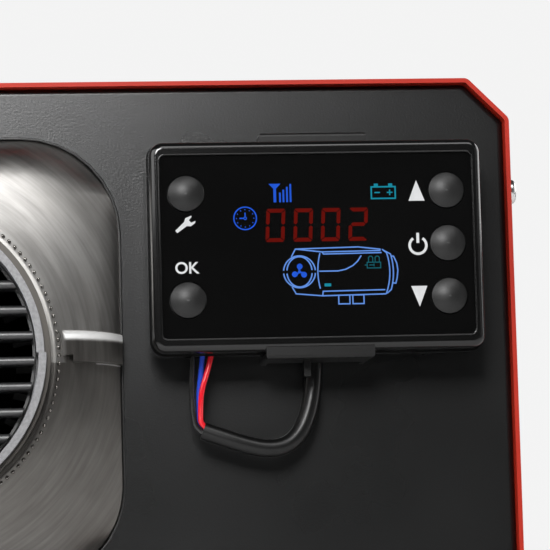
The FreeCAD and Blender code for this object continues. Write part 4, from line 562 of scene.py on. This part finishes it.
def filled(loops):
    sheet = drawing("filled", loops, True)
    sheet.data.fill_mode = "BOTH"
    return face_up(as_mesh(sheet))


def ruled(lines, width, closed=False):
    """Lines of an even width, drawn with a flat nib."""
    return face_up(swept("ruled", lines, closed, [(-width / 2, 0), (width / 2, 0)], False))


def lettered(text, height, bold):
    """Capital letters of a height, thickened all round."""
    capital_share = 0.69
    deselect()
    bpy.ops.object.text_add()
    sheet = bpy.context.object
    sheet.data.body = text
    sheet.data.size = height / capital_share * mm
    sheet.data.offset = bold
    sheet.data.align_x = "CENTER"
    sheet.data.align_y = "CENTER"
    return face_up(as_mesh(sheet))


def mark(name, sheets, x, z, material):
    """Stands a drawing up just in front of the lens."""
    clear_of_lens = 0.05 * mm
    sheet = joined(sheets)
    sheet.rotation_euler = stand_up
    sheet.location = (control.x + x * mm, lens_y - clear_of_lens, control.z + z * mm)
    place(sheet, name, "case", material)


# The printed white glows as painted light; the screen colours are its back-light
white_print_painted_glow = lit("white_print_painted_glow", (0.80, 0.81, 0.82))
screen_blue = lit("screen_blue", (0.020, 0.105, 0.70))
screen_pale = lit("screen_pale", (0.135, 0.300, 0.80))
screen_cyan = lit("screen_cyan", (0.012, 0.26, 0.36))
screen_teal = lit("screen_teal", (0.010, 0.115, 0.145))
screen_red = lit("screen_red", (0.130, 0.0060, 0.0040))

# Printed marks beside the buttons, glowing white as painted light
right_column = 33.5
spanner = [(-3.34, -2.1), (-2.69, -2.88), (0.52, -0.59), (1.9, -0.66), (3.28, 0.39), (3.41, 1.11),
           (1.97, 0.52), (1.24, 1.38), (2.16, 2.42), (2.03, 2.88), (0.07, 2.03), (-0.33, 0.79)]
arrow_up = [(-2.7, -3.45), (2.7, -3.45), (0, 3.45)]
arrow_down = [(-2.7, 3.45), (0, -3.45), (2.7, 3.45)]
mark("print_spanner", [filled([spanner])], -43.8, 7.5, white_print_painted_glow)
mark("print_ok", [lettered("OK", 3.7, 0.09 * mm)], -43.6, -7.2, white_print_painted_glow)
mark("print_up", [filled([arrow_up])], right_column, 17.7, white_print_painted_glow)
mark("print_down", [filled([arrow_down])], right_column, -17.7, white_print_painted_glow)
power_ring = ruled([arc(0, -0.5, 2.8, 124, 416, 40)], 0.88)
power_bar = ruled([[(0, 0.3), (0, 3.7)]], 0.95)
mark("print_power", [power_ring, power_bar], right_column, -0.2, white_print_painted_glow)

# Signal, clock and battery on the screen
mast = [(-3.77, 3.1), (-2.2, 1.45), (-2.2, -3.1), (-1.3, -3.1), (-1.3, 1.45), (0.24, 3.1)]
bar_tops = ((-0.33, 0.14), (0.81, 1.08), (2.02, 2.03), (3.18, 2.97))
bars = [block(x, x + 0.6, -3.1, top) for x, top in bar_tops]
mark("screen_signal", [filled([mast] + bars)], -12.1, 17.5, screen_blue)

dial = ruled([arc(0, 0, 3.75, 0, 352.5, 47)], 0.42, True)
hands = ruled([[(0, 0.3), (0, 1.9)], [(-0.3, 0), (-1.9, 0)]], 0.4)
hub = ruled([arc(0, 0, 0.42, 0, 337.5, 15)], 0.3, True)
hours = filled([arc(x, z, 0.2, 0, 300, 5) for x, z in arc(0, 0, 2.9, 0, 330, 11)])
mark("screen_clock", [dial, hands, hub, hours], -23.9, 9.2, screen_blue)

battery_box = ruled([block(-4.0, 4.0, -2.4, 1.5)], 0.5, True)
battery_posts = filled([block(-3.1, -1.7, 1.75, 2.6), block(1.7, 3.1, 1.75, 2.6)])
minus_sign = [(-3.0, -0.4), (-1.1, -0.4)]
plus_sign = [[(1.2, -0.4), (3.1, -0.4)], [(2.15, -1.35), (2.15, 0.55)]]
battery_signs = ruled([minus_sign] + plus_sign, 0.42)
mark("screen_battery", [battery_box, battery_posts, battery_signs], 22.4, 17.6, screen_cyan)

# Seven-segment digits: half their width and height, one set of strokes, leaning a little
wide = 3.15
tall = 5.55
stroke = 1.3
lean = 0.055
bar_top = [(-wide + 0.5, tall), (wide - 0.5, tall), (wide - 0.15, tall - 0.35),
           (wide - stroke, tall - stroke), (-wide + stroke, tall - stroke), (-wide + 0.15, tall - 0.35)]
bar_side = [(wide, tall - 0.55), (wide, 0.6), (wide - stroke / 2, 0.2), (wide - stroke + 0.1, 0.75),
            (wide - stroke + 0.1, tall - stroke - 0.15)]
bar_middle = [(-wide + 0.75, 0), (-wide + stroke, 0.6), (wide - stroke, 0.6), (wide - 0.75, 0),
              (wide - stroke, -0.6), (-wide + stroke, -0.6)]


def turned_over(line, across, up):
    return [(x * across, z * up) for x, z in line]


strokes = {"top": bar_top, "bottom": turned_over(bar_top, 1, -1), "middle": bar_middle,
           "upper_right": bar_side, "lower_right": turned_over(bar_side, 1, -1),
           "upper_left": turned_over(bar_side, -1, 1), "lower_left": turned_over(bar_side, -1, -1)}
nought = ["top", "bottom", "upper_right", "lower_right", "upper_left", "lower_left"]
two = ["top", "upper_right", "middle", "lower_left", "bottom"]
for count, (used, x) in enumerate(((nought, -13.9), (nought, -4.65), (nought, 4.5), (two, 13.7))):
    leaning = [[(px + lean * pz, pz) for px, pz in strokes[name]] for name in used]
    mark("screen_digit_%d" % count, [filled(leaning)], x, 6.7, screen_red)

# Pictogram of a heater: body, end cap, fan, ports
thin = 0.42
body_lines = [
    [(-16.4, 6.4), (-15.0, 9.0), (5.9, 9.4), (13.5, 8.5)],
    [(-15.0, 9.0), (-6.1, 7.9), (-5.7, 7.2), (13.7, 7.4)],
    [(-6.1, 7.9), (13.4, 8.1)],
    arc(15.5, 1.3, 23.2, 164.5, 194.0, 12),
    [(-16.4, -3.6), (-15.1, -5.9), (-6.3, -6.7), (14.9, -6.4)],
    [(-6.3, -6.7), (-6.1, -5.2), (14.6, -5.0)],
    [(13.9, 8.5)] + arc(-4.6, 1.2, 20.9, 17, -16, 12) + [(14.9, -6.4)],
    [(14.1, 8.3)] + arc(-3.4, 1.1, 20.9, 16, -17, 12) + [(15.2, -6.2)],
    [(16.7, 6.2), (17.7, 6.1), (18.7, 3.8), (19.0, 1.4), (18.7, -1.0), (18.2, -2.9), (17.1, -2.8)],
    [(-7.3, 1.5), (-0.9, 1.5), (1.6, 2.0), (4.0, 3.2), (5.6, 4.6), (6.9, 6.5)],
]
ports = [block(-1.0, 2.7, -9.5, -6.6), block(3.7, 7.4, -9.5, -6.6)]
fan_rings = [arc(-13.8, 1.4, 5.3, 5, 175, 20), arc(-13.8, 1.4, 5.3, 185, 355, 20),
             arc(-13.8, 1.4, 4.2, 6, 174, 18, 1.2), arc(-13.8, 1.4, 4.2, 186, 354, 18, 1.2)]
pictogram = [ruled(body_lines, thin), ruled(ports, thin, True), ruled(fan_rings, 0.45)]
mark("screen_heater", pictogram, 7.5, -10.3, screen_pale)

blade = [(0.35, 0.35)] + arc(1.75, 0.35, 0.95, -130, 130, 14)
blades = []
for turn in (75, 195, 315):
    cosine = math.cos(math.radians(turn))
    sine = math.sin(math.radians(turn))
    blades.append([(x * cosine - z * sine, x * sine + z * cosine) for x, z in blade])
mark("screen_fan", [filled(blades), filled([arc(0, 0, 0.55, 0, 337.5, 15)])], -6.3, -8.9, screen_blue)

plug_box = ruled([block(-1.9, 2.6, -1.9, 0.0)], 0.32, True)
plug_loops = [[(-1.4, 0.1), (-1.4, 1.6), (-1.0, 2.0), (-0.4, 2.0), (0.0, 1.6), (0.0, 0.1)],
              [(0.8, 0.1), (0.8, 1.6), (1.2, 2.0), (1.8, 2.0), (2.2, 1.6), (2.2, 0.1)]]
plug_dashes = [[(-2.7, -0.9), (-1.9, -0.9)], [(-1.2, -0.9), (0.4, -0.9)], [(0.4, -1.4), (0.4, -0.4)]]
mark("screen_plugs", [plug_box, ruled(plug_loops + plug_dashes, 0.3)], 18.2, -6.1, screen_teal)
mark("screen_dash", [filled([block(-1.1, 1.1, -0.5, 0.5)])], 3.0, -13.4, screen_cyan)

# Outlet shells: small beads round the ring
bead_circle = 53.9 * mm
bead_front = -216.3 * mm
bead_count = 128
bead_spot = (outlet.x + bead_circle, bead_front, outlet.z)
deselect()
bpy.ops.mesh.primitive_uv_sphere_add(segments=8, ring_count=5, radius=0.62 * mm, location=bead_spot)
beads = bpy.context.object
settle(beads)
bpy.ops.object.shade_smooth()
bpy.ops.object.mode_set(mode="EDIT")
bpy.ops.mesh.select_all(action="SELECT")
bpy.ops.transform.resize(value=(0.85, 1.0, 1.25), center_override=bead_spot)
bpy.ops.mesh.spin(steps=bead_count, dupli=True, angle=math.radians(360), center=(outlet.x, 0, outlet.z),
                  axis=(0, 1, 0))
weld(beads, 0.01 * mm)
bead_finish = metal("ring_beads", (0.16, 0.15, 0.14), (0.30, 0.29, 0.27), (0.22, 0.3), 200.0, 200.0)
place(beads, "ring_beads", "case", bead_finish)


# Controller's frame: a pillow-edged moulding round a flat border, with a fine lip at the lens
def rounded(half_wide, half_tall, radius):
    """Closed outline of a rounded rectangle, anticlockwise from its lower right corner."""
    line = []
    for x, z, start in ((1, -1, -90), (1, 1, 0), (-1, 1, 90), (-1, -1, 180)):
        line += arc(x * (half_wide - radius), z * (half_tall - radius), radius, start, start + 90, 8)
    return line


def moulded(line, section):
    """Sweeps a closed section round an outline; the section is given outwards, then forwards."""
    strip = swept("moulded", [line], True, [(-x, z) for x, z in section], True)
    weld(strip, 0.005 * mm)
    return strip


def rod(radius):
    """Round section for a fine raised line."""
    return arc(0, 0, radius, 0, 330, 11)


pillow_wide = 2.4
pillow_deep = 2.6
frame_back = -8.9
proud_of_lens = 0.8 * mm
pillow = []
for degrees in range(0, 91, 10):
    angle = math.radians(degrees)
    pillow.append((pillow_wide * math.sin(angle), -pillow_deep * (1 - math.cos(angle))))
opening = rounded(52.2, 30.7, 2.0)
edge = moulded(rounded(52.9, 32.6, 2.1), pillow + [(pillow_wide, frame_back), (0.2, frame_back)])
border = filled([rounded(53.0, 32.7, 2.2), opening])
lip = moulded(rounded(52.25, 30.75, 2.05), rod(0.3))
wall = moulded(opening, block(0.0, 0.25, 0.0, -2.2))
moulding = joined([edge, border, lip, wall])
moulding.rotation_euler = stand_up
moulding.location = (control.x, lens_y - proud_of_lens, control.z)
place(moulding, "frame_moulding", "case", finishes["control_black"])
hold(moulding)
bpy.ops.object.shade_smooth_by_angle(angle=sharp)
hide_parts("controller_frame")

# Front panel: the rolled cut edge round the outlet's opening
rim = moulded(rounded(75.5, 75.5, 33.0), rod(0.45))
rim.rotation_euler = stand_up
rim.location = (outlet.x, panel_y, outlet.z)
edge_finish = grained("cut_edge", grey(0.010), grey(0.018), (0.30, 0.38), 1500.0)
place(rim, "opening_edge", "case", edge_finish)
hold(rim)
bpy.ops.object.shade_smooth()

# Side screws: tall pan heads with a cross recess, seated over the short heads of the model
head_tall = 3.2 * mm
arm_long = 4.6 * mm
arm_wide = 1.0 * mm
arm_deep = 1.8 * mm
deselect()
bpy.ops.mesh.primitive_cylinder_add(vertices=32, radius=4.2 * mm, depth=head_tall,
                                    location=(0, 0, head_tall / 2))
head = bpy.context.object
pick_faces(head, lambda normal: normal.z > 0.9)
bpy.ops.mesh.bevel(offset=1.3 * mm, segments=4, affect="EDGES")
bpy.ops.object.mode_set(mode="OBJECT")
for arm in ((arm_long, arm_wide, arm_deep), (arm_wide, arm_long, arm_deep)):
    deselect()
    bpy.ops.mesh.primitive_cube_add(size=1.0, location=(0, 0, head_tall), scale=arm)
    cutter = bpy.context.object
    hold(head)
    recess = head.modifiers.new("recess", "BOOLEAN")
    recess.operation = "DIFFERENCE"
    recess.object = cutter
    bpy.ops.object.modifier_apply(modifier="recess")
    bpy.data.objects.remove(cutter)
settle(head)
bpy.ops.object.shade_smooth_by_angle(angle=sharp)
side_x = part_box("case_shell")[1][0]

# Each side's screws: place along the depth, height, and the turn of the recess in degrees
screw_places = ((-188, 60, 20), (-188, 322, 65), (188, 60, 40), (188, 322, 5))
heads = []
for side in (-1, 1):
    for y, z, turn in screw_places:
        hold(head)
        bpy.ops.object.duplicate()
        copy = bpy.context.object
        copy.matrix_world = (Matrix.Translation((side * side_x, y * mm, z * mm))
                             @ Matrix.Rotation(math.radians(90 * side), 4, "Y")
                             @ Matrix.Rotation(math.radians(turn), 4, "Z"))
        heads.append(copy)
bpy.data.objects.remove(head)
place(joined(heads), "side_screw_heads", "case", finishes["screw_steel"])

# Studio floor: plain to other rays; to the camera it grows paler with distance from the part
deselect()
bpy.ops.mesh.primitive_plane_add(size=8.0, location=(0, 0, 0))
floor = bpy.context.object
floor.name = "floor"
floor_material, floor_tree, floor_shader = material_base("floor")
set_inputs(floor_tree, floor_shader, Base_Color=(0.82, 0.82, 0.82, 1), Roughness=0.8)
paper = add_node(floor_tree, "ShaderNodeBsdfDiffuse", Color=(0.34, 0.34, 0.34, 1))
away = vector(floor_tree, "LENGTH", floor_tree.nodes.new("ShaderNodeTexCoord").outputs["Object"])
paler = spread(floor_tree, away, low=0.52, high=0.88, start=0.3, stop=2.2, way="SMOOTHSTEP")
glow = add_node(floor_tree, "ShaderNodeEmission", Color=paler)
seen = floor_tree.nodes.new("ShaderNodeAddShader")
floor_tree.links.new(paper.outputs["BSDF"], seen.inputs[0])
floor_tree.links.new(glow.outputs["Emission"], seen.inputs[1])
floor_ray = floor_tree.nodes.new("ShaderNodeLightPath").outputs
plain = floor_shader.outputs["BSDF"]
floor_look = mixed(floor_tree, floor_ray["Is Camera Ray"], plain, seen.outputs["Shader"])
floor_tree.links.new(floor_look, floor_tree.nodes["Material Output"].inputs["Surface"])
floor.data.materials.append(floor_material)


# Studio lights: width, height, watts, place, aim
def softbox(name, width, height, power, position, target):
    light = bpy.data.lights.new(name, "AREA")
    light.shape = "RECTANGLE"
    light.size = width
    light.size_y = height
    light.energy = power
    lamp = bpy.data.objects.new(name, light)
    lamp.location = position
    lamp.rotation_euler = (Vector(target) - Vector(position)).to_track_quat("-Z", "Y").to_euler()
    scene.collection.objects.link(lamp)


softbox("key", 0.4, 0.4, 13.5, (-0.18, -1.3, 0.78), (0.0, -0.19, 0.30))
softbox("high", 0.8, 0.4, 4.2, (0.296, -0.932, 1.12), (-0.01, -0.215, 0.31))
softbox("left", 1.2, 0.8, 10.0, (-0.95, -0.75, 0.85), (0.0, -0.2, 0.30))
softbox("right", 0.2, 0.8, 1.6, (1.1, -0.2, 0.45), (0.1, -0.2, 0.28))
softbox("side", 0.5, 0.6, 0.3, (0.9, -0.75, 0.45), (0.0, -0.21, 0.30))
softbox("flank", 1.0, 0.8, 9.0, (1.35, 0.45, 0.85), (0.13, 0.05, 0.2))
softbox("rear", 0.8, 0.6, 8.0, (-0.5, 1.3, 0.8), (0.0, 0.2, 0.2))

# Surround: pale to the camera, dim and slowly graded in reflections, a faint fill otherwise
world = bpy.data.worlds.new("studio")
scene.world = world
world.use_nodes = True
sky = world.node_tree
ray = sky.nodes.new("ShaderNodeLightPath").outputs
fill = set_inputs(sky, sky.nodes["Background"], Color=(0.04, 0.04, 0.04, 1))
backdrop = add_node(sky, "ShaderNodeBackground", Color=(0.90, 0.90, 0.90, 1))
direction = sky.nodes.new("ShaderNodeTexCoord").outputs["Generated"]
graded = vector(sky, "DOT_PRODUCT", direction, (0.5, 0.5, -0.6))
dimness = spread(sky, graded, low=0.03, high=0.12, start=-0.45, stop=0.60)
mirrored = add_node(sky, "ShaderNodeBackground", Color=dimness)
shiny = scalar(sky, "MAXIMUM", ray["Is Glossy Ray"], ray["Is Transmission Ray"])
unseen = mixed(sky, shiny, fill.outputs["Background"], mirrored.outputs["Background"])
surround = mixed(sky, ray["Is Camera Ray"], unseen, backdrop.outputs["Background"])
sky.links.new(surround, sky.nodes["World Output"].inputs["Surface"])

# Camera: the photograph's view
camera = bpy.data.cameras.new("camera")
camera.lens = 195.85
camera.sensor_width = 36.0
view = bpy.data.objects.new("camera", camera)
heading = Matrix.Rotation(math.radians(-5.346), 4, "Z")
tilt = Matrix.Rotation(math.radians(96.112), 4, "X")
roll = Matrix.Rotation(math.radians(-1.529), 4, "Z")
view.matrix_world = Matrix.Translation((-0.0257, -1.20234, 0.18538)) @ heading @ tilt @ roll
scene.collection.objects.link(view)
scene.camera = view
